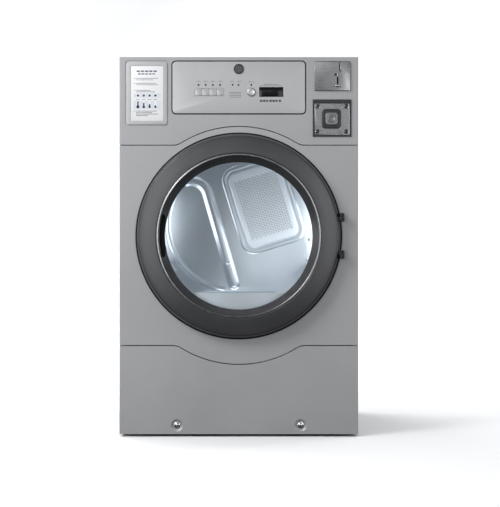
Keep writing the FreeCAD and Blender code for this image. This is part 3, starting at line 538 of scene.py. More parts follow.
def painted(name, shade, tone, gloss, bare, peel=700.0, depth=0.00006, metal=0.0, dust=0.35):
    """Powder-coated steel: peel, mottle, rubbed edges and a little dust on top."""
    material, tree, shader, at = new_material(name)
    powder = effect(tree, "powder", at, Peel=peel)
    wear = effect(tree, "edges", at)["Wear"]
    dusty = effect(tree, "dust", at)["Dust"]
    colour = blend_of(tree, powder["Mottle"], shade, tone)
    colour = blend_of(tree, span_of(tree, wear, 0, 0.7), colour, bare)
    colour = blend_of(tree, span_of(tree, dusty, 0, dust), colour, (0.42, 0.41, 0.39))
    sheen = span_of(tree, powder["Mottle"], *gloss)
    rough = maths(tree, "ADD", sheen, span_of(tree, dusty, 0, 0.16))
    feed(tree, shader, colour, rough, Metallic=metal)
    raise_surface(tree, shader, powder["Height"], 0.5, depth)
    return material


def bright_metal(name, shade, tone, gloss, fineness=2600.0, depth=0.00003, length=14.0,
                 waves=0.0):
    """Brushed or drawn metal, with streaks of gloss, bright rubbed edges and the waves of thin sheet."""
    material, tree, shader, at = new_material(name)
    lines = effect(tree, "brushed", at, Fineness=fineness, Length=length)
    wear = effect(tree, "edges", at, Reach=0.0008)["Wear"]
    colour = blend_of(tree, lines["Streak"], shade, tone)
    colour = blend_of(tree, span_of(tree, wear, 0, 0.6), colour, (0.86, 0.87, 0.88))
    feed(tree, shader, colour, span_of(tree, lines["Streak"], *gloss), Metallic=1.0)
    height = lines["Height"]
    if waves:
        swell = span_of(tree, noise(tree, at, 5.0, 1.0), 0, waves / depth)
        height = maths(tree, "ADD", height, swell)
    raise_surface(tree, shader, height, 0.5, depth)
    return material


def moulded(name, shade, tone, gloss, pebble=900.0, depth=0.00005, specular=0.5, dust=0.3):
    """Moulded plastic or rubber: fine skin, hazy patches, greyed edges."""
    material, tree, shader, at = new_material(name)
    skin = effect(tree, "skin", at, Pebble=pebble)
    wear = effect(tree, "edges", at, Reach=0.001)["Wear"]
    dusty = effect(tree, "dust", at)["Dust"]
    colour = blend_of(tree, skin["Haze"], shade, tone)
    pale = tuple(min(1, 0.06 + value * 1.9) for value in tone)
    colour = blend_of(tree, span_of(tree, wear, 0, 0.35), colour, pale)
    colour = blend_of(tree, span_of(tree, dusty, 0, dust), colour, (0.24, 0.235, 0.225))
    feed(tree, shader, colour, span_of(tree, skin["Haze"], *gloss), Specular_IOR_Level=specular)
    raise_surface(tree, shader, skin["Height"], 0.4, depth)
    return material


def zinc_coated(name, shade, tone):
    """Galvanised sheet with its spangle."""
    material, tree, shader, at = new_material(name)
    zinc = effect(tree, "zinc", at)
    dusty = effect(tree, "dust", at)["Dust"]
    colour = blend_of(tree, zinc["Spangle"], shade, tone)
    colour = blend_of(tree, span_of(tree, dusty, 0, 0.3), colour, (0.35, 0.34, 0.32))
    feed(tree, shader, colour, span_of(tree, zinc["Spangle"], 0.34, 0.5), Metallic=0.6)
    raise_surface(tree, shader, zinc["Height"], 0.25, 0.00005)
    return material


def felted(name, shade, tone):
    """Pressed wool felt: tangled fibres and a soft sheen."""
    material, tree, shader, at = new_material(name)
    fibres = noise(tree, at, 1400.0, 6.0, 0.75)
    clumps = noise(tree, at, 90.0, 3.0)
    colour = blend_of(tree, span_of(tree, clumps, 0, 1, 0.35, 0.65), shade, tone)
    feed(tree, shader, colour, span_of(tree, fibres, 0.85, 1.0), Sheen_Weight=0.4)
    raise_surface(tree, shader, fibres, 0.8, 0.0004)
    return material


def clear_glass(name, shade):
    """Toughened glass that lets lamp light through, with faint wipe marks."""
    material, tree, shader, at = new_material(name)
    wipes = noise(tree, at, 7.0, 6.0, 0.7)
    shader.inputs["Base Color"].default_value = (*shade, 1)
    shader.inputs["Transmission Weight"].default_value = 1.0
    shader.inputs["IOR"].default_value = 1.45
    tree.links.new(span_of(tree, wipes, 0.0, 0.03, 0.45, 0.75), shader.inputs["Roughness"])
    through = add(tree, "ShaderNodeBsdfTransparent", {"Color": (*shade, 1)})
    path = add(tree, "ShaderNodeLightPath")
    mixed = add(tree, "ShaderNodeMixShader",
                {0: path.outputs["Is Shadow Ray"], 1: shader.outputs[0], 2: through.outputs[0]})
    tree.links.new(mixed.outputs[0], tree.nodes["Material Output"].inputs["Surface"])
    return material


SILVER = painted("silver_powder_coat", (0.375, 0.382, 0.392), (0.405, 0.412, 0.42), (0.42, 0.5),
                 (0.62, 0.63, 0.64), metal=0.25)
FASCIA = painted("fascia_silver", (0.45, 0.457, 0.468), (0.48, 0.487, 0.497), (0.36, 0.43),
                 (0.66, 0.67, 0.68), peel=1100.0, depth=0.00003, metal=0.35)
GRAPHITE = painted("door_graphite", (0.062, 0.063, 0.067), (0.074, 0.075, 0.080), (0.28, 0.34),
                   (0.12, 0.12, 0.125), peel=1500.0, depth=0.00001, metal=0.55, dust=0.1)
TRIM = bright_metal("bright_trim", (0.66, 0.67, 0.68), (0.78, 0.79, 0.80), (0.16, 0.26))
DOOR_TRIM = bright_metal("door_trim_satin", (0.25, 0.255, 0.26), (0.30, 0.305, 0.31), (0.24, 0.32),
                         depth=0.000005)
# Black moulding, made still blacker and less shiny than plain black plastic: partly its own colour, partly
# painted shade for the shadow gap round the door
SURROUND_SHADE_BLACK = moulded("surround_black_painted_shade", (0.006, 0.006, 0.006), (0.010, 0.010, 0.010), (0.6, 0.7), specular=0.2,
                   dust=0.1)
GLASS = clear_glass("door_glass", (0.96, 0.985, 1.0))
BLACK = moulded("black_plastic", (0.012, 0.012, 0.013), (0.020, 0.020, 0.021), (0.40, 0.52))
LENS = moulded("lens_black", (0.006, 0.006, 0.007), (0.009, 0.009, 0.010), (0.10, 0.16), depth=0.000002,
               specular=0.15, dust=0.0)
STAINLESS = bright_metal("stainless_sheet", (0.69, 0.72, 0.75), (0.73, 0.76, 0.79), (0.31, 0.35),
                         fineness=1700.0, depth=0.00001)
STAMPED = bright_metal("stamped_wall", (0.66, 0.70, 0.74), (0.68, 0.72, 0.76), (0.29, 0.31), length=300.0,
                       fineness=300.0, depth=0.000002, waves=0.0012)
# Satin steel with its colour raised nearly to white so that the inlet reads brighter than the wall of the
# same steel: partly a real satin finish, partly painted light
INLET_STEEL_PAINTED_LIGHT = bright_metal("inlet_steel_painted_light", (0.82, 0.85, 0.89), (0.88, 0.91, 0.94), (0.52, 0.60),
                           depth=0.000004)
DRUM_STEEL = bright_metal("drum_steel", (0.60, 0.63, 0.66), (0.70, 0.73, 0.76), (0.24, 0.34),
                          fineness=1200.0, depth=0.00001)
STEEL_FACE = bright_metal("coin_steel", (0.27, 0.275, 0.28), (0.33, 0.335, 0.34), (0.24, 0.32),
                          fineness=3600.0, depth=0.000004, waves=0.0016)
GALVANISED = zinc_coated("galvanised_sheet", (0.52, 0.535, 0.55), (0.62, 0.635, 0.65))
SCREW = bright_metal("screw_steel", (0.55, 0.56, 0.57), (0.70, 0.71, 0.72), (0.24, 0.36), fineness=5000.0)
MOTOR = painted("motor_enamel", (0.07, 0.08, 0.095), (0.09, 0.10, 0.115), (0.40, 0.52), (0.3, 0.3, 0.3))
EMBLEM = moulded("emblem_grey", (0.060, 0.062, 0.066), (0.080, 0.083, 0.088), (0.30, 0.40), depth=0.00001)
CARD = moulded("card_white", (0.80, 0.81, 0.82), (0.84, 0.85, 0.86), (0.35, 0.42), depth=0.000005,
               dust=0.05)
VAULT = moulded("vault_black", (0.016, 0.016, 0.017), (0.024, 0.024, 0.026), (0.32, 0.44), pebble=1200.0)
HINGE = painted("hinge_black", (0.005, 0.005, 0.006), (0.008, 0.008, 0.009), (0.55, 0.65), (0.2, 0.2, 0.2))
FELT = felted("seal_felt", (0.24, 0.23, 0.21), (0.36, 0.35, 0.32))
FOOT_RUBBER = moulded("foot_rubber", (0.014, 0.014, 0.014), (0.024, 0.024, 0.024), (0.6, 0.75),
                      pebble=600.0)
ROLLER_RUBBER = moulded("roller_rubber", (0.030, 0.029, 0.028), (0.050, 0.048, 0.046), (0.55, 0.7))
BELT_RUBBER = moulded("belt_rubber", (0.012, 0.012, 0.012), (0.022, 0.022, 0.022), (0.5, 0.65),
                      pebble=500.0)
GASKET = moulded("gasket_rubber", (0.055, 0.056, 0.058), (0.080, 0.081, 0.083), (0.5, 0.62), pebble=700.0)
FILTER = moulded("filter_plastic", (0.30, 0.36, 0.42), (0.36, 0.42, 0.48), (0.38, 0.48))
KEY_FACE = painted("key_silver", (0.44, 0.447, 0.458), (0.47, 0.477, 0.487), (0.34, 0.42),
                   (0.66, 0.67, 0.68), peel=1300.0, depth=0.00002, metal=0.3)
INK = moulded("printed_ink", (0.030, 0.036, 0.085), (0.040, 0.046, 0.10), (0.45, 0.55), depth=0.000002,
              dust=0.0)
GREY_INK = moulded("fascia_ink", (0.050, 0.052, 0.058), (0.065, 0.067, 0.073), (0.40, 0.5), depth=0.000002,
                   dust=0.0)
PALE_INK = moulded("card_tint", (0.66, 0.70, 0.77), (0.70, 0.74, 0.80), (0.45, 0.5), depth=0.000002,
                   dust=0.0)
BUTTON = bright_metal("button_satin", (0.60, 0.61, 0.62), (0.64, 0.65, 0.66), (0.46, 0.52), depth=0.000001)
DARK_RING = moulded("emblem_rim", (0.030, 0.031, 0.033), (0.040, 0.041, 0.043), (0.25, 0.34),
                    depth=0.000005)
DARK_BOLT = bright_metal("bolt_black", (0.05, 0.05, 0.052), (0.09, 0.09, 0.092), (0.22, 0.32))
LOCK_GREY = bright_metal("lock_nickel", (0.22, 0.23, 0.24), (0.28, 0.29, 0.30), (0.40, 0.48),
                         depth=0.000004)
SEGMENT = moulded("display_segment", (0.012, 0.012, 0.014), (0.015, 0.015, 0.017), (0.2, 0.26),
                  depth=0.000002, specular=0.15, dust=0.0)

# What each CAD part that still shows is made of
FINISHES = {
    "silver_paint": SILVER, "fascia_silver": FASCIA, "door_graphite": GRAPHITE, "bright_trim": TRIM,
    "door_glass": GLASS, "black_plastic": BLACK, "lens_black": LENS, "stainless": STAINLESS,
    "galvanised": GALVANISED, "screw_steel": SCREW, "motor_metal": MOTOR, "emblem_grey": EMBLEM,
    "card_white": CARD, "vault_black": VAULT, "hinge_black": HINGE, "felt": FELT,
    "foot_rubber": FOOT_RUBBER, "roller_rubber": ROLLER_RUBBER, "belt_rubber": BELT_RUBBER,
    "gasket_rubber": GASKET, "filter_plastic": FILTER,
}
for cad_part in NODES.values():
    for place in cad_part.material_slots:
        place.material = FINISHES[place.material.name]

# Door ---------------------------------------------------------------------------

HINGE_X, HINGE_Y = middle("hinge_bracket").x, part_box("hinge_leaf")[0].y + 4 * MM
GLASS_R = 226 * MM
FACE_R = 252.5 * MM


def hinge_spans():
    """The heights between which each of the two hinge knuckle sets sits."""
    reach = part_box("hinge_bracket")[1].z - DOOR_Z
    return [(DOOR_Z - reach, DOOR_Z - 45 * MM), (DOOR_Z + 45 * MM, DOOR_Z + reach)]


def door_ring():
    """The graphite ring: rounded rim, crowned face, step and the bevel down to the glass."""
    rim = DOOR_R
    face = DOOR_BACK - 38 * MM
    profile = [(rim, DOOR_BACK), (rim - 0.6 * MM, face + 27 * MM), (rim - 6.6 * MM, face + 8.0 * MM),
               (rim - 9.4 * MM, face + 5.2 * MM), (rim - 24 * MM, face + 3.4 * MM),
               (rim - 42 * MM, face + 1.4 * MM), (FACE_R + 2 * MM, face), (FACE_R, face + 0.6 * MM),
               (FACE_R, face + 3 * MM), (246 * MM, face + 3 * MM), (GLASS_R, face + 26 * MM),
               (GLASS_R, face + 30 * MM), (229 * MM, face + 30 * MM), (249 * MM, face + 6.5 * MM),
               (rim - 16 * MM, face + 7.5 * MM), (rim - 9 * MM, face + 11 * MM),
               (rim - 3.5 * MM, face + 28 * MM), (rim - 3.5 * MM, DOOR_BACK)]
    ring = turned("door_ring", profile, steps=240, ease=1.3 * MM, loop=True)
    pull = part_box("door_pull_cup")
    pocket = frame_outline((-0.262, -GLASS_R + 2 * MM), (pull[0].z + 2 * MM, pull[1].z - 2 * MM), 9 * MM)
    tools = [slab("pocket_tool", pocket, (face + 3.2 * MM, DOOR_BACK - 7 * MM), soft=0)]
    guard = turned("pocket_guard", rod(243.5 * MM, face, DOOR_BACK), steps=96)
    work_on(tools[0])
    keep = tools[0].modifiers.new("keep", "BOOLEAN")
    keep.operation = "INTERSECT"
    keep.object = guard
    bpy.ops.object.modifier_apply(modifier=keep.name)
    bpy.data.objects.remove(guard)
    for low, high in hinge_spans():
        tools.append(turned_up("knuckle_tool", rod(11 * MM, low - 2 * MM, high + 1 * MM),
                               HINGE_X, HINGE_Y, steps=40))
        tools.append(block("knuckle_back", around(HINGE_X, 11 * MM), (HINGE_Y, FRONT),
                           (low - 2 * MM, high + 1 * MM), soft=0))
    cut_away(ring, *tools)
    fit(ring, GRAPHITE, ("door_outer_ring",), angle=32, body="door")


def trim_ring():
    """The thin bright ring let into the step of the door's face."""
    low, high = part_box("door_trim_ring")
    inner, outer = 246.4 * MM, high.x
    profile = [(inner, high.y), (inner, low.y + 0.8 * MM), (inner + 1.2 * MM, low.y),
               (outer - 1.2 * MM, low.y + 0.5 * MM), (outer, low.y + 1.2 * MM), (outer, high.y)]
    ring = turned("trim_ring", profile, steps=240, ease=0.5 * MM, loop=True)
    fit(ring, DOOR_TRIM, ("door_trim_ring",), angle=50, body="door")


def pull_cup():
    """A finger rail inside the pocket, with grip ribs."""
    low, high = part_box("door_pull_cup")
    floor = block("pocket_floor", mm(-258, -222), past(high.y, -3.2, -0.2),
                  (low.z + 1 * MM, high.z - 1 * MM), soft=0)
    rim = GLASS_R + 1 * MM
    pane_side = turned("pane_side", rod(rim, high.y - 9 * MM, high.y + 3 * MM), steps=160)
    cut_away(floor, pane_side)
    ribs = [floor]
    count = 9
    for number in range(count):
        z = low.z + (high.z - low.z) * (number + 1) / (count + 1)
        ribs.append(block("rib", mm(-258, -234), past(high.y, -5.2, -2.6),
                          around(z, 1.2 * MM), soft=0.5 * MM))
    # The pocket floor takes the surround's near-black, which is partly painted shade in the recess
    fit(joined("pull_pocket_floor", *ribs), SURROUND_SHADE_BLACK, body="door")


def surround():
    """The fixed ring that the door closes onto, with its gasket channel and lip."""
    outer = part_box("door_surround")[1].z - DOOR_Z
    hole = 299.5 * MM
    profile = [(outer, FRONT - 2.5 * MM), (outer, FRONT), (hole - 0.5 * MM, FRONT),
               (hole - 0.5 * MM, FRONT + 8 * MM), (hole - 3 * MM, FRONT + 8 * MM), (hole - 3 * MM, FRONT),
               (264.5 * MM, FRONT), (255 * MM, FRONT + 16.5 * MM), (252.5 * MM, FRONT + 16.5 * MM),
               (262 * MM, FRONT - 2.5 * MM)]
    ring = turned("fixed_surround", profile, steps=200, ease=0.8 * MM, loop=True)
    plunger = middle("switch_plunger")
    strike = block("strike_tool", mm(-297, -281), past(FRONT, -4, 2), around(DOOR_Z, 13 * MM), soft=0)
    button = turned("plunger_tool", rod(4 * MM, FRONT - 4 * MM, FRONT + 2 * MM), plunger.x, plunger.z,
                    steps=24)
    cut_away(ring, strike, button)
    # Near-black surround: partly painted shade for the gap round the door
    fit(ring, SURROUND_SHADE_BLACK, ("door_surround",))


def gasket():
    """A hollow bulb seal on the back of the door, and the lipped seal that holds the pane."""
    low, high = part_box("door_gasket")
    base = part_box("door_inner_frame")[0].y + 1.5 * MM
    crest = base + 3.6 * MM
    outer = high.z - DOOR_Z
    inner = outer - 13 * MM
    profile = [(outer, base), (outer, base + 1 * MM), (outer - 2.2 * MM, base + 1.3 * MM),
               (outer - 1.6 * MM, crest - 0.8 * MM), (outer - 6.5 * MM, crest),
               (inner + 1.6 * MM, crest - 0.8 * MM), (inner + 2.2 * MM, base + 1.3 * MM),
               (inner, base + 1 * MM), (inner, base)]
    seal = turned("bulb_seal", profile, steps=200, ease=0.6 * MM, loop=True)
    fit(seal, GASKET, ("door_gasket",), angle=60, body="door")
    lip = [(234 * MM, low.y), (234 * MM, high.y - 3 * MM), (233.4 * MM, high.y), (231.4 * MM, high.y),
           (230.8 * MM, high.y - 2 * MM), (232 * MM, high.y - 4 * MM), (232 * MM, low.y)]
    fit(turned("glass_seal", lip, steps=200, ease=0.4 * MM, loop=True), GASKET,
        angle=60, body="door")


def glass_pane():
    """The round pane with ground edges."""
    low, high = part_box("door_glass")
    rim = high.z - DOOR_Z
    edge = 0.8 * MM
    profile = [(0, low.y), (rim - edge, low.y), (rim, low.y + edge), (rim, high.y - edge),
               (rim - edge, high.y), (0, high.y)]
    pane = turned("glass_pane", profile, steps=160)
    fit(pane, GLASS, ("door_glass",), angle=20, body="door")


def inner_face():
    """The steel inner frame of the door: stepped flange, glass retainer, strike and screws."""
    low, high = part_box("door_inner_frame")
    rim = high.z - DOOR_Z
    back = low.y + 1.5 * MM
    profile = [(rim, low.y), (rim, back), (284 * MM, back), (266 * MM, back), (258 * MM, back + 1.2 * MM),
               (246 * MM, back + 1.2 * MM), (236 * MM, back), (234.2 * MM, back), (234.2 * MM, low.y)]
    flange = turned("inner_door_frame", profile, steps=200, ease=1 * MM, loop=True)
    tools = [block("hinge_tool", around(HINGE_X, 12 * MM), past(FRONT, -12, 0),
                   (span[0] - 2 * MM, span[1] + 1 * MM), soft=0) for span in hinge_spans()]
    cut_away(flange, *tools)
    strike = block("strike", mm(-292, -286), (back, high.y - 2 * MM),
                   around(DOOR_Z, 8 * MM), soft=1.6 * MM, segments=3)
    fit(joined("inner_door_frame", flange, strike), GALVANISED,
        ("door_inner_frame",), body="door")
    screws = []
    for number in range(8):
        angle = math.radians(22.5 + 45 * number)
        x = DOOR_X + 251 * MM * math.cos(angle)
        z = DOOR_Z + 251 * MM * math.sin(angle)
        screws.append(pan_screw("screw", x, z, back + 1.2 * MM, 3.6 * MM, away=1))
    fit(joined("inner_frame_screws", *screws), SCREW, body="door")


def pan_screw(name, x, z, y, radius, away=-1):
    """A cross-slotted pan head on a face at y. away is -1 to stand to the front, 1 to the rear."""
    high = radius * 0.62
    profile = [(0, y + away * high), (radius * 0.55, y + away * high * 0.96),
               (radius * 0.9, y + away * high * 0.66), (radius, y + away * high * 0.2),
               (radius, y - away * 0.4 * MM), (0, y - away * 0.4 * MM)]
    head = turned(name, profile, x, z, steps=20)
    arm = radius * 0.5
    width = radius * 0.13
    top = sorted((y + away * high * 0.45, y + away * high * 1.3))
    bars = [block("bar", (x - arm, x + arm), top, (z - width, z + width), soft=0),
            block("bar", (x - width, x + width), top, (z - arm, z + arm), soft=0)]
    return cut_away(head, *bars)


def hinge():
    """Two fixed lugs with capped pins, and the leaf's knuckles between them."""
    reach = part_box("hinge_bracket")[1].z - DOOR_Z
    lugs = []
    knuckles = []
    for side in (-1, 1):
        lug = sorted((DOOR_Z + side * 58 * MM, DOOR_Z + side * reach))
        turn = sorted((DOOR_Z + side * 45 * MM, DOOR_Z + side * 57.5 * MM))
        for span, group in ((lug, lugs), (turn, knuckles)):
            edge = 1 * MM
            profile = [(0, span[0]), (7 * MM, span[0]), (8 * MM, span[0] + edge), (8 * MM, span[1] - edge),
                       (7 * MM, span[1]), (0, span[1])]
            group.append(turned_up("knuckle", profile, HINGE_X, HINGE_Y))
        lugs.append(block("lug_foot", past(HINGE_X, -5, 6), (HINGE_Y, FRONT - 2.5 * MM),
                          lug, soft=1.5 * MM, segments=3))
        lugs.append(turned_up("pin", rod(4 * MM, DOOR_Z + side * 43 * MM, DOOR_Z + side * reach),
                              HINGE_X, HINGE_Y, steps=20))
        knuckles.append(block("leaf_arm", (290 * MM, HINGE_X), around(HINGE_Y, 4 * MM), turn,
                              soft=1.2 * MM))
        knuckles.append(block("leaf_back", mm(290, 298), (HINGE_Y - 4 * MM, FRONT - 8 * MM), turn,
                              soft=1.2 * MM))
    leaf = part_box("hinge_leaf")
    knuckles.append(block("leaf_plate", mm(262, 298), past(FRONT, -11, -8),
                          (leaf[0].z, leaf[1].z), soft=0.8 * MM))
    fit(joined("hinge_lugs", *lugs), HINGE, ("hinge_bracket",))
    fit(joined("hinge_knuckles", *knuckles), HINGE, ("hinge_leaf",), body="door")


door_ring()
trim_ring()
pull_cup()
surround()
gasket()
glass_pane()
inner_face()
hinge()

# Inside the drum ------------------------------------------------------------------

INLET_X, INLET_Z = 81 * MM, 735 * MM
INLET_HALF = mm(94, 136)
INLET_LEAN = 17
HOLE_R = 2.75 * MM
HOLE_PITCH = mm(8.0, 9.85)
RIB_TOP = Vector((-113.5, 777)) * MM
RIB_FOOT = Vector((-21, 457)) * MM
ARC_CENTRE = Vector((-22, 668)) * MM
ARC_R = 231 * MM


def lean(piece):
    """Tilts a piece of the inlet about the inlet's centre."""
    return moved(piece, turn=INLET_LEAN, about=(INLET_X, 0, INLET_Z))


def inlet_outline(margin, radius):
    half_x, half_z = INLET_HALF
    return frame_outline((INLET_X - half_x - margin, INLET_X + half_x + margin),
                         (INLET_Z - half_z - margin, INLET_Z + half_z + margin), radius, steps=8)


def hole_strip(name, column, count):
    """One cell of sheet round a hole, repeated up a column."""
    half_x, half_z = HOLE_PITCH[0] / 2, HOLE_PITCH[1] / 2
    x = INLET_X + column * HOLE_PITCH[0]
    z = INLET_Z - (count - 1) * half_z
    rows = (-half_z, -half_z / 2, 0, half_z / 2, half_z)
    edge = [(half_x, row) for row in rows] + [(0, half_z)]
    edge += [(-half_x, row) for row in reversed(rows)] + [(0, -half_z), (half_x, -half_z)]
    piece = dot(name, (x + edge[0][0], 0, z + edge[0][1]))
    draw_line([(x + px, 0, z + pz) for px, pz in edge])
    bpy.ops.mesh.select_all(action="SELECT")
    bpy.ops.mesh.remove_doubles(threshold=DOUBLE)
    close_mesh()
    ring = []
    for px, pz in edge[:-1]:
        angle = math.atan2(pz / half_z * half_x * 1.6, px)
        ring.append((x + HOLE_R * math.cos(angle), 0, z + HOLE_R * math.sin(angle)))
    hole = dot("hole", ring[0])
    draw_line(ring + ring[:1])
    bpy.ops.mesh.select_all(action="SELECT")
    bpy.ops.mesh.remove_doubles(threshold=DOUBLE)
    close_mesh()
    piece = joined(name, piece, hole)
    open_mesh(piece, "EDGE")
    bpy.ops.mesh.bridge_edge_loops()
    close_mesh()
    column_array = piece.modifiers.new("column", "ARRAY")
    column_array.use_relative_offset = False
    column_array.use_constant_offset = True
    column_array.constant_offset_displace = (0, 0, HOLE_PITCH[1])
    column_array.count = count
    work_on(piece)
    bpy.ops.object.modifier_apply(modifier=column_array.name)
    return piece


def perforated_sheet():
    """The flat field of staggered holes that the hot air comes through."""
    columns = 19
    tall, short = 22, 21
    strips = []
    for number in range(columns):
        column = number - (columns - 1) / 2
        strips.append(hole_strip("strip", column, tall if number % 2 == 0 else short))
        if number % 2:
            x = INLET_X + column * HOLE_PITCH[0]
            half = HOLE_PITCH[0] / 2
            reach = tall * HOLE_PITCH[1] / 2
            for side in (-1, 1):
                near = INLET_Z + side * (reach - HOLE_PITCH[1] / 2)
                far = INLET_Z + side * reach
                filler = dot("filler", (x - half, 0, near))
                draw_line([(x - half, 0, near), (x + half, 0, near), (x + half, 0, far), (x - half, 0, far),
                           (x - half, 0, near)])
                bpy.ops.mesh.select_all(action="SELECT")
                bpy.ops.mesh.remove_doubles(threshold=DOUBLE)
                bpy.ops.mesh.edge_face_add()
                close_mesh()
                strips.append(filler)
    sheet = joined("inlet_screen", *strips)
    open_mesh(sheet)
    bpy.ops.transform.translate(value=(0, WALL_Y - 5.2 * MM, 0))
    tidy_shell()
    thick = sheet.modifiers.new("thick", "SOLIDIFY")
    thick.thickness = 0.9 * MM
    thick.offset = 0
    work_on(sheet)
    bpy.ops.object.modifier_apply(modifier=thick.name)
    return lean(sheet)


def inlet():
    """The air inlet: a raised pressed frame with a rolled edge round the perforated sheet."""
    front = WALL_Y - 8 * MM
    sheet = perforated_sheet()
    field = (19 * HOLE_PITCH[0] / 2, 22 * HOLE_PITCH[1] / 2)
    frame_slab = slab("inlet_frame", inlet_outline(0, 29 * MM), (front, WALL_Y + 0.5 * MM), soft=4.5 * MM,
                      segments=5)
    window = slab("window", frame_outline(around(INLET_X, field[0] - 0.2 * MM),
                                          around(INLET_Z, field[1] - 0.2 * MM), 0.5 * MM),
                  (front - 5 * MM, WALL_Y + 6 * MM), soft=0)
    cut_away(frame_slab, window)
    # The inlet frame and sheet take the near-white steel, which is partly painted light
    fit(lean(frame_slab), INLET_STEEL_PAINTED_LIGHT, angle=50)
    fit(sheet, INLET_STEEL_PAINTED_LIGHT, angle=40)
    groove = [(px, pz) for px, pz in inlet_outline(13 * MM, 40 * MM)]
    ledge = [(-9, -1), (-7.4, 1.4), (-5.2, 2.6), (4.4, 2.4), (7.2, 1.2), (9.4, -1)]
    section = all_mm(ledge)
    press_line = bead("inlet_press_line", groove + groove[:1], section, WALL_Y)
    fit(lean(press_line), STAMPED, angle=50)


def rib_path():
    """The rib: up its straight, over a tight curl to the left, then the large arc back to its foot."""
    along = (RIB_FOOT - RIB_TOP).normalized()
    path = [RIB_FOOT, RIB_FOOT.lerp(RIB_TOP, 0.33), RIB_FOOT.lerp(RIB_TOP, 0.66), RIB_TOP]
    curl_r = 58 * MM
    left = Vector((-abs(along.y), -abs(along.x)))
    hub = RIB_TOP + left * curl_r
    start = math.atan2(RIB_TOP.y - hub.y, RIB_TOP.x - hub.x)
    path += [hub + Vector((math.cos(start + a), math.sin(start + a))) * curl_r
             for a in (math.radians(9 * n) for n in range(1, 12))]
    return path


def arc_path():
    """The long arc that closes the pressed panel on the left."""
    high, low = math.radians(128), math.radians(262)
    return [ARC_CENTRE + Vector((math.cos(high + (low - high) * n / 44),
                                 math.sin(high + (low - high) * n / 44))) * ARC_R for n in range(45)]


def back_wall():
    """The fixed wall with its pressed rib and arc, rivets and roller pins."""
    low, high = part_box("rear_bulkhead")
    wall = slab("drum_back_wall", frame_outline(*sides(low, high), 12 * MM),
                (WALL_Y, high.y), soft=0.5 * MM)
    opening = lean(slab("opening", inlet_outline(-9 * MM, 22 * MM), (WALL_Y - 5 * MM, high.y + 5 * MM),
                        soft=0))
    cut_away(wall, opening)
    fit(wall, STAMPED, ("rear_bulkhead",))
    half = [(7, 8.6), (9.4, 7.9), (11.4, 6.2), (14.2, 2.9), (16.4, 1.1), (19.5, 0.4), (22.5, -1.5)]
    ridge = [(-a, b) for a, b in reversed(half)] + half
    rib = bead("pressed_rib", rib_path(), all_mm(ridge), WALL_Y)
    cap = [(0, WALL_Y - 8.6 * MM)] + [(a * MM, WALL_Y - b * MM) for a, b in half] + [(0, WALL_Y + 1.5 * MM)]
    foot = turned("rib_foot", cap, RIB_FOOT.x, RIB_FOOT.y, steps=64)
    step_at = RIB_FOOT.lerp(RIB_TOP, 0.235)
    across = (RIB_FOOT - RIB_TOP).normalized() * 9 * MM
    bump = [(-7, -9), (-5, 7.4), (-2.5, 9.6), (0, 10.2), (2.5, 9.6), (5, 7.4), (7, -9)]
    across = Vector((-across.y, across.x))
    step = bead("rib_step", [step_at + across, step_at - across], all_mm(bump), WALL_Y)
    fit(joined("pressed_rib", rib, foot, step), STAMPED, angle=60)
    bell = [(-12, -1.5), (-9.6, 1.0), (-6.6, 4.2), (-3, 6.6), (0, 7.2), (3, 6.6), (6.6, 4.2), (9.6, 1.0),
            (12, -1.5)]
    arc = bead("pressed_arc", arc_path(), all_mm(bell), WALL_Y)
    fit(arc, STAMPED, angle=60)
    rivets = []
    for x, z in ((242, 613), (233.5, 544), (-227, 509), (-19.5, 872)):
        profile = on(WALL_Y, (0, -2.6), (2, -2.5), (4.4, -1.7), (6, 0), (6, 0.5), (0, 0.5))
        rivets.append(turned("rivet", profile, x * MM, z * MM, steps=24))
    fit(joined("wall_rivets", *rivets), SCREW, angle=60)
    seat_r = 320 * MM
    seat = turned("rear_seal_seat", [(seat_r, WALL_Y), (seat_r, DRUM_REAR - 12 * MM),
                                     (seat_r - 2 * MM, DRUM_REAR - 12 * MM), (seat_r - 2 * MM, WALL_Y)],
                  0, DRUM_Z, ease=0.5 * MM, loop=True)
    fit(seat, STAINLESS)
    pins = []
    for roller in ("left_drum_roller", "right_drum_roller"):
        hub = middle(roller)
        profile = on(WALL_Y, (0, -40), (5, -40), (6, -39), (6, -36), (5, -36), (5, -34.5), (6, -34.5),
                     (6, -8), (11, -8), (12, -7), (12, 0), (0, 0))
        pins.append(turned("roller_pin", profile, hub.x, hub.z, steps=32))
    fit(joined("roller_pins", *pins), SCREW)


def drum_shell():
    """The rolled shell with pressed stiffening rings and curled edges."""
    outer = DRUM_R
    sheet = 1.5 * MM
    outside = [(outer, DRUM_FRONT), (outer, DRUM_FRONT + 18 * MM)]
    for place in (110, 180, 390, 460):
        y = DRUM_FRONT + place * MM
        outside += [(outer, y - 7 * MM), (outer - 2.6 * MM, y - 2.5 * MM), (outer - 2.6 * MM, y + 2.5 * MM),
                    (outer, y + 7 * MM)]
    outside += [(outer, DRUM_REAR - 18 * MM), (outer, DRUM_REAR)]
    inside = [(r - sheet, y) for r, y in reversed(outside)]
    shell = turned("drum_barrel", outside + inside, 0, DRUM_Z, steps=160, ease=2 * MM, loop=True)
    fit(shell, DRUM_STEEL, ("drum_shell",), body="drum")


def drum_lifters():
    """Three rounded vanes that carry the load round."""
    foot = DRUM_R - 5.6 * MM
    top = foot - 62 * MM
    outline = [(-42, -foot / MM), (-20, -top / MM - 8), (-12, -top / MM), (12, -top / MM),
               (20, -top / MM - 8), (42, -foot / MM)]
    points = eased([(x * MM, z * MM, 0) for x, z in outline], 9 * MM)
    section = [(p[0], p[1] + DRUM_Z) for p in points]
    vanes = []
    for number in range(3):
        vane = slab("vane", section, (DRUM_FRONT + 35 * MM, DRUM_REAR - 35 * MM), soft=6 * MM, segments=4,
                    both=True)
        moved(vane, turn=-(60 + 120 * number), about=(0, 0, DRUM_Z))
        vanes.append(vane)
    fit(joined("drum_vanes", *vanes), DRUM_STEEL, ("drum_lifters",), angle=40, body="drum")


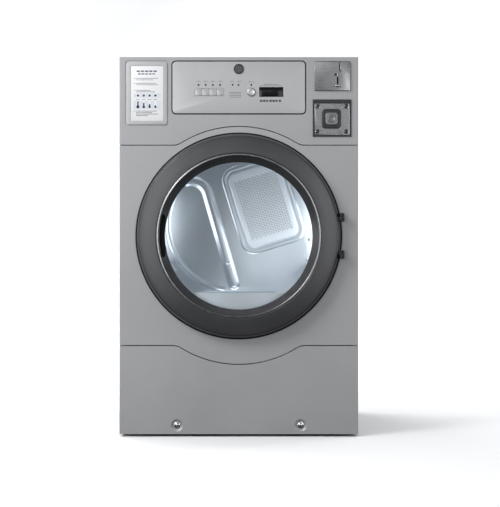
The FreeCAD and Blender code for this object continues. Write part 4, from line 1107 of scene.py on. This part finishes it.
def lint_filter():
    """The lint screen in its frame, with a mesh of fine wires and a lipped grip."""
    low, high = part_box("lint_filter")
    grip_z = high.z - 4 * MM
    mid_y = (low.y + high.y) / 2
    panel = block("filter_frame", mm(-118, 118), around(mid_y, 5 * MM),
                  (low.z, grip_z + 1 * MM), soft=1.5 * MM)
    window = block("filter_window", mm(-110, 110), around(mid_y, 12 * MM),
                   (low.z + 8 * MM, grip_z - 6.5 * MM), soft=0)
    cut_away(panel, window)
    grip = block("filter_grip", mm(-112, 112), around(mid_y, 6.5 * MM),
                 (grip_z, high.z), soft=1.6 * MM, segments=4)
    fit(joined("lint_frame", panel, grip), FILTER, ("lint_filter",), body="filter")
    wire = 0.35 * MM
    pitch = 3.4 * MM
    bars = []
    across = block("wire", mm(-110.5, 110.5), (mid_y - wire, mid_y + wire),
                   (low.z + 9 * MM, low.z + 9 * MM + 2 * wire), soft=0)
    upright = block("wire", (-109 * MM, -109 * MM + 2 * wire), (mid_y - wire * 2, mid_y),
                    (low.z + 7.5 * MM, grip_z - 6 * MM), soft=0)
    for bar, step, room in ((across, (0, 0, pitch), grip_z - 7 * MM - low.z - 9 * MM),
                            (upright, (pitch, 0, 0), 218 * MM)):
        rows = bar.modifiers.new("rows", "ARRAY")
        rows.use_relative_offset = False
        rows.use_constant_offset = True
        rows.constant_offset_displace = step
        rows.count = int(room / pitch) + 1
        work_on(bar)
        bpy.ops.object.modifier_apply(modifier=rows.name)
        bars.append(bar)
    fit(joined("lint_mesh", *bars), SCREW, body="filter")


back_wall()
inlet()
drum_shell()
drum_lifters()
lint_filter()

# Control panel, card and coin equipment -------------------------------------------

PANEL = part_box("control_fascia")
KEY_BOXES = [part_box("programme_key_%d" % number) for number in (1, 2, 3, 4)]
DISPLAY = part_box("display_window")
START = middle("start_button")
START_R = 13.3 * MM
PRINT = 0.12 * MM  # How far a printed mark stands from its face


def mark(x, z, face):
    """A printed mark: a thin slip of ink on a face at y."""
    return block("mark", x, (face - PRINT, face + PRINT), z, soft=0)


def text_line(left, right, z, height, face, seed):
    """A line of generic short strokes that stands for printed words."""
    strokes = []
    x = left
    step = 0
    while x < right:
        step += 1
        word = height * (1.6 + 1.5 * ((seed * 7 + step * 5) % 5) / 4)
        end = min(x + word, right)
        strokes.append(mark((x, end), (z - height / 2, z + height / 2), face))
        x = end + height * 0.75
    return strokes


def fascia():
    """The control panel: a bevelled plate with openings for keys, button, display and lenses."""
    low, high = PANEL
    face = low.y
    plate = slab("control_plate", frame_outline(*sides(low, high), 11 * MM, steps=8),
                 (face, high.y), soft=1.0 * MM, segments=4)
    deep = (face - 3 * MM, high.y + 3 * MM)
    gap = 0.4 * MM
    tools = [block("keys_tool", (KEY_BOXES[0][0].x - gap, KEY_BOXES[3][1].x + gap), deep,
                   (KEY_BOXES[0][0].z - gap, KEY_BOXES[0][1].z + gap), soft=0)]
    window = display_span()
    tools.append(block("display_tool", grow(window[0], 0.2 * MM), deep, grow(window[1], 0.2 * MM), soft=0))
    hole = 13.7 * MM
    tools.append(turned("start_tool", rod(hole, deep[0], deep[1]), START.x, START.z, steps=64))
    for x in lens_places():
        r = 2.9 * MM
        tools.append(turned("lens_tool", rod(r, deep[0], deep[1]), x, LENS_Z, steps=24))
    cut_away(plate, *tools)
    fit(plate, FASCIA, ("control_fascia",), angle=40)


LENS_Z = DISPLAY[1].z - 2.7 * MM


def lens_places():
    """One lens over each programme key, two over the option marks, one over the start button."""
    first = DISPLAY[0].x + 2.7 * MM
    keys = [first + 22 * MM * number for number in range(4)]
    return keys + [first + 105 * MM, first + 123 * MM, START.x - 0.5 * MM]


def display_span():
    """The display window's reach across and up."""
    right = DISPLAY[1].x
    low = DISPLAY[0].z
    return past(right, -74, 0), past(low, 0, 30)


def display():
    """The dark window, with unlit digits behind it, and the lenses."""
    face = DISPLAY[0].y + 0.1 * MM
    across, up = display_span()
    window = block("display_pane", across, (face, DISPLAY[1].y), up, soft=0.35 * MM)
    fit(window, LENS, ("display_window",))
    lenses = []
    for x in lens_places():
        r = 2.7 * MM
        profile = [(0, face - 0.1 * MM), (1.6 * MM, face), (2.4 * MM, face + 0.35 * MM),
                   (r, face + 0.9 * MM), (r, face + 5 * MM), (0, face + 5 * MM)]
        lenses.append(turned("lens", profile, x, LENS_Z, steps=24))
    fit(joined("indicator_lenses", *lenses), LENS, angle=60)
    strokes = []
    digit_w, digit_h, thick = 8.5 * MM, 15 * MM, 1.3 * MM
    mid_z = sum(up) / 2
    for number in range(4):
        x = across[0] + 14.5 * MM + number * 13.5 * MM + (2 * MM if number > 1 else 0)
        for row in (-1, 0, 1):
            z = mid_z + row * digit_h / 2
            strokes.append(mark((x, x + digit_w), (z - thick / 2, z + thick / 2), face))
        for side in (0, 1):
            for row in (-1, 1):
                z = mid_z + row * digit_h / 4
                cx = x + side * digit_w
                strokes.append(mark((cx - thick / 2, cx + thick / 2),
                                    (z - digit_h / 4 + thick, z + digit_h / 4 - thick), face))
    fit(joined("display_segments", *strokes), SEGMENT)


def keys():
    """Four flat keys with rounded edges."""
    for number, (low, high) in enumerate(KEY_BOXES):
        outline = frame_outline(*sides(low, high), 0.9 * MM, steps=3)
        key = slab("key_%d" % (number + 1), outline, (low.y, high.y), soft=1.1 * MM, segments=4)
        fit(key, KEY_FACE, ("programme_key_%d" % (number + 1),),
            body="key_%d" % (number + 1))


def start_button():
    """The round start button with a dished top and a sloping skirt."""
    low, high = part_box("start_button")
    face = low.y
    r = START_R
    profile = [(0, face + 1.5 * MM), (6.2 * MM, face + 0.9 * MM), (8.6 * MM, face + 0.1 * MM),
               (9.8 * MM, face), (11.4 * MM, face + 1.0 * MM), (12.6 * MM, face + 3 * MM),
               (r, face + 4.5 * MM), (r, high.y), (0, high.y)]
    points = eased([(pr, py, 0) for pr, py in profile], 0.7 * MM)
    button = turned("start_knob", [(p[0], p[1]) for p in points], START.x, START.z, steps=96)
    fit(button, BUTTON, ("start_button",), angle=60, body="start")


def fascia_print():
    """Generic printing: key outlines, guide lines, small word strokes and a block under the display."""
    face = PANEL[0].y
    grey = []
    lenses = lens_places()
    for number, (low, high) in enumerate(KEY_BOXES):
        centre = (low.x + high.x) / 2
        grey += text_line(centre - 6 * MM, centre + 6 * MM, LENS_Z + 11 * MM, 1.5 * MM, face, number)
        guide = block("guide", mm(-0.22, 0.22), (face - PRINT, face + PRINT), mm(0, 9.2), soft=0)
        slope = math.degrees(math.atan2(lenses[number] - centre, 9 * MM))
        moved(guide, turn=-slope)
        grey.append(moved(guide, x=centre, z=high.z + 1.2 * MM))
    for lens, span in ((lenses[4], (-8, 3)), (lenses[5], (-3, 8))):
        grey += text_line(lens + span[0] * MM, lens + span[1] * MM, LENS_Z + 11 * MM, 1.5 * MM, face, 3)
    option_x = (lenses[4] + lenses[5]) / 2
    for drop in (23, 28, 33, 38):
        grey += text_line(option_x - 19 * MM, option_x + 18 * MM, LENS_Z - drop * MM, 1.5 * MM, face, drop)
    across, up = display_span()
    grey += text_line(across[0] + 16 * MM, across[1] - 13 * MM, up[1] + 8.5 * MM, 1.7 * MM, face, 5)
    grey += text_line(across[0] + 4 * MM, across[1] - 4 * MM, up[1] + 4 * MM, 1.4 * MM, face, 9)
    grey += text_line(START.x - 9 * MM, START.x + 9 * MM, LENS_Z + 9 * MM, 1.5 * MM, face, 2)
    step = 9.6 * MM
    for number in range(7):
        x = across[0] + 2 * MM + number * step
        width = step - (3.4 if number in (2, 5) else 1.8) * MM
        grey.append(mark((x, x + width), past(up[0], -15.5, -9), face))
    fit(joined("panel_print", *grey), GREY_INK)
    edge = []
    for low, high in KEY_BOXES:
        line = 0.35 * MM
        edge.append(mark((low.x + 1.2 * MM, high.x - 1.2 * MM), (low.z + 2.6 * MM, low.z + 2.6 * MM + line),
                         low.y))
    for number, piece in enumerate(edge):
        fit(moved(joined("key_print_%d" % (number + 1), piece), y=-0.02 * MM), GREY_INK,
            body="key_%d" % (number + 1))


def emblem():
    """A plain round boss in a dark ring."""
    low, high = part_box("emblem_disc")
    centre = (low + high) / 2
    base = PANEL[0].y
    outer = (high.x - low.x) / 2
    ring = [(outer, base), (outer, base - 1.6 * MM), (outer - 1 * MM, low.y), (12.6 * MM, low.y),
            (12 * MM, low.y + 1 * MM), (12 * MM, base)]
    fit(turned("emblem_ring", ring, centre.x, centre.z, steps=96, ease=0.4 * MM, loop=True), DARK_RING,
        ("emblem_disc",), angle=60)
    boss = on(base, (0, -1.5), (7.5, -1.5), (8, -2.2), (9.3, -2.2), (9.8, -1.2), (12, -0.9), (12, 0),
              (0, 0))
    fit(turned("emblem_boss", boss, centre.x, centre.z, steps=96), EMBLEM, angle=50)


def card_holder():
    """The raised card frame with its bevelled lip."""
    low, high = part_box("card_frame")
    card_low, card_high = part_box("instruction_card")
    outline = frame_outline((low.x + 8 * MM, high.x - 8 * MM), (low.z + 7 * MM, high.z - 7 * MM), 8 * MM)
    holder = slab("card_holder", outline, (low.y, FRONT + 3 * MM), soft=1.1 * MM, segments=4)
    pocket = slab("card_pocket", frame_outline(*sides(card_low, card_high, 0.3 * MM), 2 * MM),
                  (low.y - 3 * MM, card_high.y), soft=0)
    cut_away(holder, pocket)
    flange = slab("card_flange", frame_outline(*sides(low, high), 12 * MM),
                  (FRONT + 3 * MM, high.y), soft=0)
    fit(joined("card_holder", holder, flange), FASCIA, ("card_frame",))


def instruction_card():
    """A white card with generic strokes, four round marks and four thermometers."""
    low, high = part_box("instruction_card")
    face = low.y
    outline = frame_outline(*sides(low, high, -1 * MM), 2 * MM)
    card = slab("care_card", outline, (face, high.y), soft=0.25 * MM)
    fit(card, CARD, ("instruction_card",))
    centre = (low.x + high.x) / 2
    left = low.x + 12 * MM
    ink = text_line(centre - 32 * MM, centre + 30 * MM, high.z - 17 * MM, 4.2 * MM, face, 1)
    ink += text_line(centre - 28 * MM, centre + 25 * MM, high.z - 25.5 * MM, 3.2 * MM, face, 4)
    for drop, widths in ((39, (66, 52)), (54, (60, 68)), (76, (44, 58)), (140, (64, 50, 66, 36))):
        ink.append(round_mark(left + 1 * MM, high.z - drop * MM, 1.5 * MM, face))
        for row, width in enumerate(widths):
            ink += text_line(left + 6 * MM, left + (6 + width) * MM, high.z - (drop + 4.6 * row) * MM,
                             1.8 * MM, face, drop + row)
    tint = [mark((left - 2 * MM, high.x - 8 * MM), past(high.z, *drops), face + 0.05 * MM)
            for drops in ((-98.5, -85.5), (-133, -108))]
    pale = []
    for number in range(4):
        x = left + (11 + 18 * number) * MM
        pale.append(round_mark(x, high.z - 92 * MM, 5.6 * MM, face - 0.04 * MM))
        ink.append(round_mark(x, high.z - 92 * MM, 3.7 * MM, face - 0.08 * MM))
        ink += text_line(x - 5 * MM, x + 5 * MM, high.z - 104 * MM, 1.5 * MM, face, number)
        bulb = high.z - 127 * MM
        pale.append(mark(around(x, 3.6 * MM), past(bulb, 0, 17.5), face - 0.03 * MM))
        pale.append(round_mark(x, bulb, 6.2 * MM, face - 0.03 * MM))
        filled = (17, 12.5, 8.5, 4.5)[number] * MM
        ink.append(mark(around(x, 2.2 * MM), (bulb, bulb + filled), face - 0.07 * MM))
        ink.append(round_mark(x, bulb, 5 * MM - number * 0.5 * MM, face - 0.07 * MM))
    fit(joined("card_tint", *tint), PALE_INK)
    fit(joined("card_white_marks", *pale), CARD)
    fit(joined("card_ink", *ink), INK)


def round_mark(x, z, radius, face):
    profile = rod(radius, face - PRINT, face + PRINT)
    return turned("dot_mark", profile, x, z, steps=20)


def coin_entry():
    """The steel coin entry plate with its slit, screw hole, rim and lever slot."""
    low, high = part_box("coin_entry_plate")
    lever = middle("coin_return_lever")
    face = low.y
    outline = frame_outline(*sides(low, high), 2.5 * MM, steps=4)
    plate = slab("coin_plate", outline, (face, high.y), soft=1.3 * MM, segments=4)
    deep = (face - 3 * MM, high.y + 3 * MM)
    slit_top, slit_foot = past(high.z, -5, -33)
    slit = slab("slit", [(307.6 * MM, slit_top), (310.8 * MM, slit_top), (313.6 * MM, slit_foot),
                         (310.4 * MM, slit_foot)], deep, soft=0)
    lever_x = 304.7 * MM
    way = slab("lever_way", frame_outline(around(lever_x, 2.3 * MM), past(lever.z, -5, 27),
                                          2 * MM, steps=4), deep, soft=0)
    hole = turned("screw_hole", rod(4.2 * MM, deep[0], deep[1]),
                  lever_x - 6.1 * MM, high.z - 42 * MM, steps=32)
    cut_away(plate, slit, way, hole)
    fit(plate, STEEL_FACE, ("coin_entry_plate",))
    lip = slab("slit_lip", [(311.2 * MM, slit_top + 1 * MM), (312.6 * MM, slit_top + 1 * MM),
                            (315.6 * MM, slit_foot - 1 * MM), (314.2 * MM, slit_foot - 1 * MM)],
               past(face, -1.6, 0.5), soft=0.5 * MM)
    screw = pan_screw("reject_screw", lever_x + 1.3 * MM, high.z - 42 * MM, face, 2.6 * MM)
    fit(joined("coin_plate_details", lip, screw), SCREW)


def return_lever():
    """The coin return lever: a stem in the slot and a rounded crosspiece."""
    low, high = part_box("coin_return_lever")
    centre = (low.z + high.z) / 2
    x = 304.7 * MM
    stem = block("stem", around(x, 1.9 * MM), (low.y + 2 * MM, FRONT + 10 * MM), around(centre, 3 * MM),
                 soft=0.6 * MM)
    outline = frame_outline((low.x, high.x), around(centre, 3 * MM), 2.4 * MM, steps=5)
    bar = slab("bar", outline, past(low.y, 0, 4), soft=1.2 * MM, segments=4, both=True)
    heel = block("heel", around(x, 4.5 * MM), past(FRONT, 6, 12), around(centre, 4 * MM), soft=0.5 * MM)
    fit(joined("return_lever", stem, bar, heel), TRIM, ("coin_return_lever",),
        body="return_lever")


def coin_drawer():
    """The coin drawer: steel face with four sunk bolts, black bezel, collar and the long tray."""
    lock_x = (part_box("coin_vault")[0].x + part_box("coin_vault")[1].x) / 2 - 1.5 * MM
    lock_z = 980.5 * MM
    face_y = FRONT + 1 * MM
    across, up = mm(232.5, 342.5), mm(931, 1029)
    face = slab("drawer_face", frame_outline(across, up, 1.2 * MM, steps=3), past(face_y, 0, 4),
                soft=0.6 * MM)
    dimples = []
    bolts = []
    for x in grow(across, -11 * MM):
        for z in grow(up, -10 * MM):
            bowl = on(face_y, (0, 1.9), (5.2, 1.9), (7.5, 0), (7.5, -2), (0, -2))
            dimples.append(turned("bowl", bowl, x, z, steps=40))
            head = on(face_y, (0, 0.1), (2.6, 0.3), (4.3, 1.1), (4.8, 2), (4.8, 3), (0, 3))
            bolts.append(turned("bolt", head, x, z, steps=32))
    cut_away(face, *dimples)
    fit(face, STEEL_FACE, ("coin_box",), body="coin_drawer")
    fit(joined("drawer_bolts", *bolts), DARK_BOLT, angle=60, body="coin_drawer")

    def square(name, half_x, half_z, depth, corner, soft):
        return slab(name, frame_outline(around(lock_x, half_x * MM), around(lock_z, half_z * MM),
                                        corner * MM, steps=8), depth, soft=soft * MM, segments=4)

    well = 13.2 * MM
    bore = rod(well, FRONT - 12 * MM, FRONT + 3 * MM)
    bezel = square("drawer_bezel", 29, 30, (FRONT - 6 * MM, face_y), 11, 1.8)
    cut_away(bezel, turned("bore", bore, lock_x, lock_z, steps=64))
    fit(bezel, VAULT, body="coin_drawer")
    collar = square("drawer_collar", 19, 19, past(FRONT, -9, -5.5), 9, 1.4)
    cut_away(collar, turned("bore", bore, lock_x, lock_z, steps=64))
    fit(collar, LOCK_GREY, angle=50, body="coin_drawer")

    tray_x = grow(across, -3 * MM)
    tray_z = (up[0] + 2 * MM, up[1] - 8 * MM)
    tray_y = (face_y + 4 * MM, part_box("coin_box")[1].y)
    tray = block("tray", tray_x, tray_y, tray_z, soft=1.0 * MM)
    room = block("room", grow(tray_x, -2 * MM), (tray_y[0] + 2 * MM, tray_y[1] - 2 * MM),
                 (tray_z[0] + 2 * MM, tray_z[1] + 9 * MM), soft=0)
    cut_away(tray, room)
    fit(tray, GALVANISED, body="coin_drawer")


def lock():
    """The round lock plug with its slanted key slot, tail and cam."""
    low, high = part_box("lock_cylinder")
    lock_x, lock_z = 286 * MM, 980.5 * MM
    r = 13 * MM
    profile = [(0, low.y + 0.4 * MM), (7 * MM, low.y + 0.4 * MM), (7.6 * MM, low.y), (11.6 * MM, low.y),
               (r, low.y + 1.2 * MM), (r, FRONT + 8 * MM), (6 * MM, FRONT + 8 * MM), (6 * MM, high.y),
               (0, high.y)]
    plug = turned("lock_plug", profile, lock_x, lock_z, steps=64)
    slot = moved(block("key_slot", around(lock_x, 1.2 * MM), past(low.y, -1, 6),
                       around(lock_z, 6 * MM), soft=0), turn=-20, about=(lock_x, 0, lock_z))
    cut_away(plug, slot)
    cam = block("cam", past(lock_x, -5, 22), past(FRONT, 16, 19), around(lock_z, 5 * MM), soft=0.6 * MM)
    fit(joined("lock_plug", plug, cam), LOCK_GREY, ("lock_cylinder",), body="lock")


fascia()
display()
keys()
start_button()
fascia_print()
emblem()
card_holder()
instruction_card()
coin_entry()
return_lever()
coin_drawer()
lock()

# Cabinet, feet, screws and the machine's back ---------------------------------------


def kick_screws():
    """The two kick panel screws: round heads with a cross slot, sunk in their dimples."""
    low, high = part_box("kick_screws")
    z = (low.z + high.z) / 2
    screws = []
    for x in (low.x + 7 * MM, high.x - 7 * MM):
        screws.append(pan_screw("kick_head", x, z, low.y + 2.4 * MM, 6.8 * MM))
        washer = on(low.y, (6.5, 2), (9.5, 2.6), (10, 3.6), (6.5, 3.6))
        screws.append(turned("washer", washer, x, z, steps=40, ease=0.3 * MM, loop=True))
    shank = 3.9 * MM
    for x in (low.x + 7 * MM, high.x - 7 * MM):
        pin = [(0, low.y + 3 * MM), (shank, low.y + 3 * MM), (shank, high.y - 1 * MM),
               (shank - 1 * MM, high.y), (0, high.y)]
        screws.append(turned("shank", pin, x, z, steps=24))
    fit(joined("kick_panel_screws", *screws), TRIM, ("kick_screws",), angle=40)


def feet():
    """Four levelling feet: ribbed pad, hexagon locknut and threaded stud."""
    for end in ("front", "rear"):
        for hand in ("left", "right"):
            low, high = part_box("%s_%s_foot" % (end, hand))
            x, y = (low.x + high.x) / 2, (low.y + high.y) / 2
            pad = [(0, 0), mm(19, 0), mm(20.5, 1.2), mm(20, 3.4), mm(18.4, 4.4),
                   mm(18.2, 5.6), mm(16.8, 7), mm(15, 10), mm(0, 10)]
            body = "foot_%s_%s" % (end, hand)
            fit(turned_up("foot_pad", pad, x, y, steps=64), FOOT_RUBBER, angle=40, body=body)
            bpy.context.object.name = "%s_pad" % body
            nut = [mm(0, 10), mm(9, 10), mm(10, 10.8), mm(10, 14.2), mm(9, 15), mm(0, 15)]
            locknut = turned_up("locknut", nut, x, y, steps=6)
            core = 6 * MM
            thread = [mm(0, 12)]
            turns = int((high.z - 16 * MM) / (1.75 * MM))
            for number in range(turns):
                z = 15 * MM + number * 1.75 * MM
                thread += [(core - 0.7 * MM, z), (core, z + 0.88 * MM)]
            thread += [(core - 0.9 * MM, high.z), (0, high.z)]
            stud = turned_up("stud", thread, x, y, steps=24)
            fit(joined("%s_stud" % body, locknut, stud), SCREW,
                ("%s_%s_foot" % (end, hand),), angle=30, body=body)


def rear_face():
    """The back cover's screws, cable grommet, terminal cover, louvre hoods and exhaust flange."""
    face = REAR
    details = []
    low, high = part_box("rear_panel")
    for z in (low.z + 14 * MM, 300 * MM, 560 * MM, 860 * MM, high.z - 14 * MM):
        for x in (low.x + 9 * MM, high.x - 9 * MM):
            details.append(pan_screw("back_screw", x, z, face, 4 * MM, away=1))
    for x in (-180 * MM, 0, 180 * MM):
        details.append(pan_screw("back_screw", x, high.z - 9 * MM, face, 4 * MM, away=1))
    fit(joined("back_screws", *details), SCREW)
    hoods = []
    for column in (-1, 1):
        for row in range(6):
            z = (330 + 24 * row) * MM
            hood = block("hood", around(column * 200 * MM, 61 * MM), past(face, -0.2, 5),
                         past(z, 6.6, 11.5), soft=2.2 * MM, segments=4)
            hoods.append(hood)
    fit(joined("louvre_hoods", *hoods), GALVANISED)
    pocket = 26 * MM
    gland_x, gland_z = -300 * MM, 1090 * MM
    ring = on(face, (11.6, 0), (11.6, 1.2), (14, 2), (17, 2), (18, 1.2), (18, 0))
    fit(turned("cable_grommet", ring, gland_x, gland_z, steps=64, ease=0.4 * MM, loop=True), BLACK,
        angle=50)
    cover = slab("terminal_cover", frame_outline((gland_x + pocket, gland_x + pocket + 110 * MM),
                                                 around(gland_z, 34 * MM), 6 * MM),
                 past(face, 9, 0), soft=2.5 * MM, segments=4)
    fit(cover, GALVANISED)
    pair = [pan_screw("cover_screw", x, gland_z, face + 9 * MM, 4 * MM, away=1)
            for x in past(gland_x + pocket, 9, 101)]
    fit(joined("terminal_cover_screws", *pair), SCREW)
    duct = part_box("exhaust_duct")
    x, z = 0, 108 * MM
    stub_r = 50.8 * MM
    end = duct[1].y
    flange = [(stub_r + 0.2 * MM, face), (stub_r + 0.2 * MM, face + 5 * MM),
              (stub_r + 1.6 * MM, face + 4 * MM), (stub_r + 4 * MM, face + 1.4 * MM),
              (stub_r + 20 * MM, face + 1.2 * MM), (stub_r + 20 * MM, face)]
    fit(turned("exhaust_flange", flange, x, z, steps=96, ease=0.5 * MM, loop=True), GALVANISED,
        angle=40)
    rings = []
    for place in (16, 38):
        y = face + place * MM
        rings.append(turned("pressed_ring", [(stub_r - 0.4 * MM, y - 3 * MM),
                                             (stub_r + 0.1 * MM, y - 2.4 * MM), (stub_r + 1.1 * MM, y),
                                             (stub_r + 0.1 * MM, y + 2.4 * MM),
                                             (stub_r - 0.4 * MM, y + 3 * MM)], x, z, steps=96,
                            ease=0.5 * MM, loop=True))
    lip = [(stub_r - 1.6 * MM, end - 1.2 * MM), (stub_r + 0.5 * MM, end - 1.2 * MM),
           (stub_r + 0.6 * MM, end - 0.1 * MM), (stub_r - 1.6 * MM, end - 0.1 * MM)]
    rings.append(turned("curled_lip", lip, x, z, steps=96, ease=0.4 * MM, loop=True))
    fit(joined("exhaust_beads", *rings), GALVANISED, angle=60)
    corners = [pan_screw("flange_screw", x + px * 42 * MM, z + pz * 42 * MM, face + 1.2 * MM, 3.4 * MM,
                         away=1) for px in (-1, 1) for pz in (-1, 1)]
    fit(joined("exhaust_flange_screws", *corners), SCREW)


def side_details():
    """Screws along the lower edges of both sides."""
    screws = []
    for side in (-1, 1):
        for y in (FRONT + 60 * MM, (FRONT + REAR) / 2, REAR - 50 * MM):
            head = pan_screw("side_screw", 0, 0, 0, 4 * MM)
            moved(head, turn=side * 90, axis="Z")
            screws.append(moved(head, x=side * (cad_box[1][0] - 2.1 * MM), y=y, z=30 * MM))
    fit(joined("side_screws", *screws), SCREW)


kick_screws()
feet()
rear_face()
side_details()

# Studio: pale floor, soft light, camera --------------------------------------


def pale_sweep():
    """A floor that curves up into a backdrop far behind the machine: pale to camera rays, and dark grey to
    every other ray, so its reflections and bounce light on the machine are painted shade.
    """
    reach, back, height, curve = 9.0, 5.0, 6.0, 2.4
    outline = eased([(0, -reach, 0), (0, back, 0), (0, back, height)], curve, steps=16)
    floor = dot("studio_floor", (-reach, *outline[0][1:]))
    draw_line([(-reach, p[1], p[2]) for p in outline])
    bpy.ops.mesh.select_all(action="SELECT")
    bpy.ops.mesh.extrude_region_move(TRANSFORM_OT_translate={"value": (2 * reach, 0, 0)})
    bpy.ops.mesh.select_all(action="SELECT")
    bpy.ops.mesh.normals_make_consistent(inside=False)
    close_mesh()
    work_on(floor)
    bpy.ops.object.shade_smooth_by_angle(angle=math.radians(40))
    material, tree, shader, _ = new_material("studio_pale_painted_shade")
    shader.inputs["Base Color"].default_value = (0.9, 0.905, 0.91, 1)
    shader.inputs["Roughness"].default_value = 0.85
    shader.inputs["Specular IOR Level"].default_value = 0.2
    # Painted shade: every ray but a camera ray sees the floor as dark grey
    shade = add(tree, "ShaderNodeBsdfDiffuse", {"Color": (0.07, 0.07, 0.07, 1)})
    seen = add(tree, "ShaderNodeLightPath").outputs["Is Camera Ray"]
    mixed = add(tree, "ShaderNodeMixShader", {0: seen, 1: shade.outputs[0], 2: shader.outputs[0]})
    tree.links.new(mixed.outputs[0], tree.nodes["Material Output"].inputs["Surface"])
    floor.data.materials.append(material)


def soft_box(name, place, aim, size, power, shade=(1, 1, 1), mirrored=True):
    """A large soft rectangle of light that faces a point."""
    clear()
    bpy.ops.object.light_add(type="AREA", location=place)
    lamp = bpy.context.object
    lamp.name = lamp.data.name = name
    lamp.data.shape = "RECTANGLE"
    lamp.data.size, lamp.data.size_y = size
    lamp.data.energy = power
    lamp.data.color = shade
    lamp.rotation_euler = (Vector(aim) - Vector(place)).to_track_quat("-Z", "Y").to_euler()
    lamp.visible_camera = False
    lamp.visible_transmission = False
    lamp.visible_glossy = mirrored


def studio_light():
    world = bpy.data.worlds.new("studio_air")
    world.use_nodes = True
    air = world.node_tree.nodes["Background"]
    air.inputs["Color"].default_value = (0.93, 0.96, 1.0, 1)
    ray = add(world.node_tree, "ShaderNodeLightPath").outputs["Is Glossy Ray"]
    bpy.context.scene.world = world
    direct, mirrored_air = 0.36, 0.20
    world.node_tree.links.new(span_of(world.node_tree, ray, direct, mirrored_air), air.inputs["Strength"])
    aim = (0, FRONT, 0.62)
    soft_box("key_light", (-2.3, -2.4, 2.6), aim, (1.6, 1.4), 84)
    soft_box("left_strip", (-1.35, -4.2, 1.0), aim, (0.5, 2.0), 23)
    soft_box("right_strip", (1.35, -4.2, 0.9), aim, (0.5, 2.0), 17)
    soft_box("brow_light", (-0.3, -4.2, 1.75), aim, (1.4, 0.4), 4)
    for side in (-1, 1):
        soft_box("bevel_light", (side * 2.7, -1.0, 0.62), (0, FRONT, 0.62), (0.5, 1.0), 12)
    soft_box("top_light", (0.2, 0.4, 3.6), (0, 0, 0.8), (3.0, 3.0), 60, mirrored=False)
    soft_box("back_light", (-2.4, 3.6, 2.6), (0, 0, 0.7), (2.6, 2.0), 90)
    soft_box("sweep_left", (-3.4, 2.0, 3.4), (-1.2, 5.0, 1.0), (2.0, 2.0), 110, mirrored=False)
    soft_box("sweep_right", (3.4, 2.0, 3.4), (1.2, 5.0, 1.0), (2.0, 2.0), 110, mirrored=False)


def drum_light():
    """Soft light inside the drum, from panes along its sides and its bottom close to the fixed wall."""
    cool = (0.93, 0.965, 1.0)
    y = DRUM_REAR - 0.15
    for side, power in ((-1, 0.40), (1, 0.52)):
        soft_box("drum_side", (side * 0.30, y, DRUM_Z), (0, y, DRUM_Z), (0.28, 0.22), power, cool)
    soft_box("drum_low", (0, y, DRUM_Z - 0.30), (0, y, DRUM_Z), (0.20, 0.26), 0.34, cool)
    front = DRUM_FRONT + 6 * MM
    soft_box("drum_front", (0.15, front, DRUM_Z - 0.02), (0.15, DRUM_REAR, DRUM_Z - 0.02), (0.24, 0.42),
             0.23, cool)


def main_camera():
    view_x = 34.5 * MM
    view_z = 565 * MM
    distance = 4.5
    sensor, lens = 36, 103.6
    clear()
    bpy.ops.object.camera_add(location=(view_x, FRONT - distance, view_z), rotation=(math.pi / 2, 0, 0))
    camera = bpy.context.object
    camera.name = camera.data.name = "main_camera"
    camera.data.sensor_width = sensor
    camera.data.lens = lens
    bpy.context.scene.camera = camera


pale_sweep()
studio_light()
drum_light()
main_camera()
bpy.context.scene.view_settings.view_transform = "Standard"

clear()
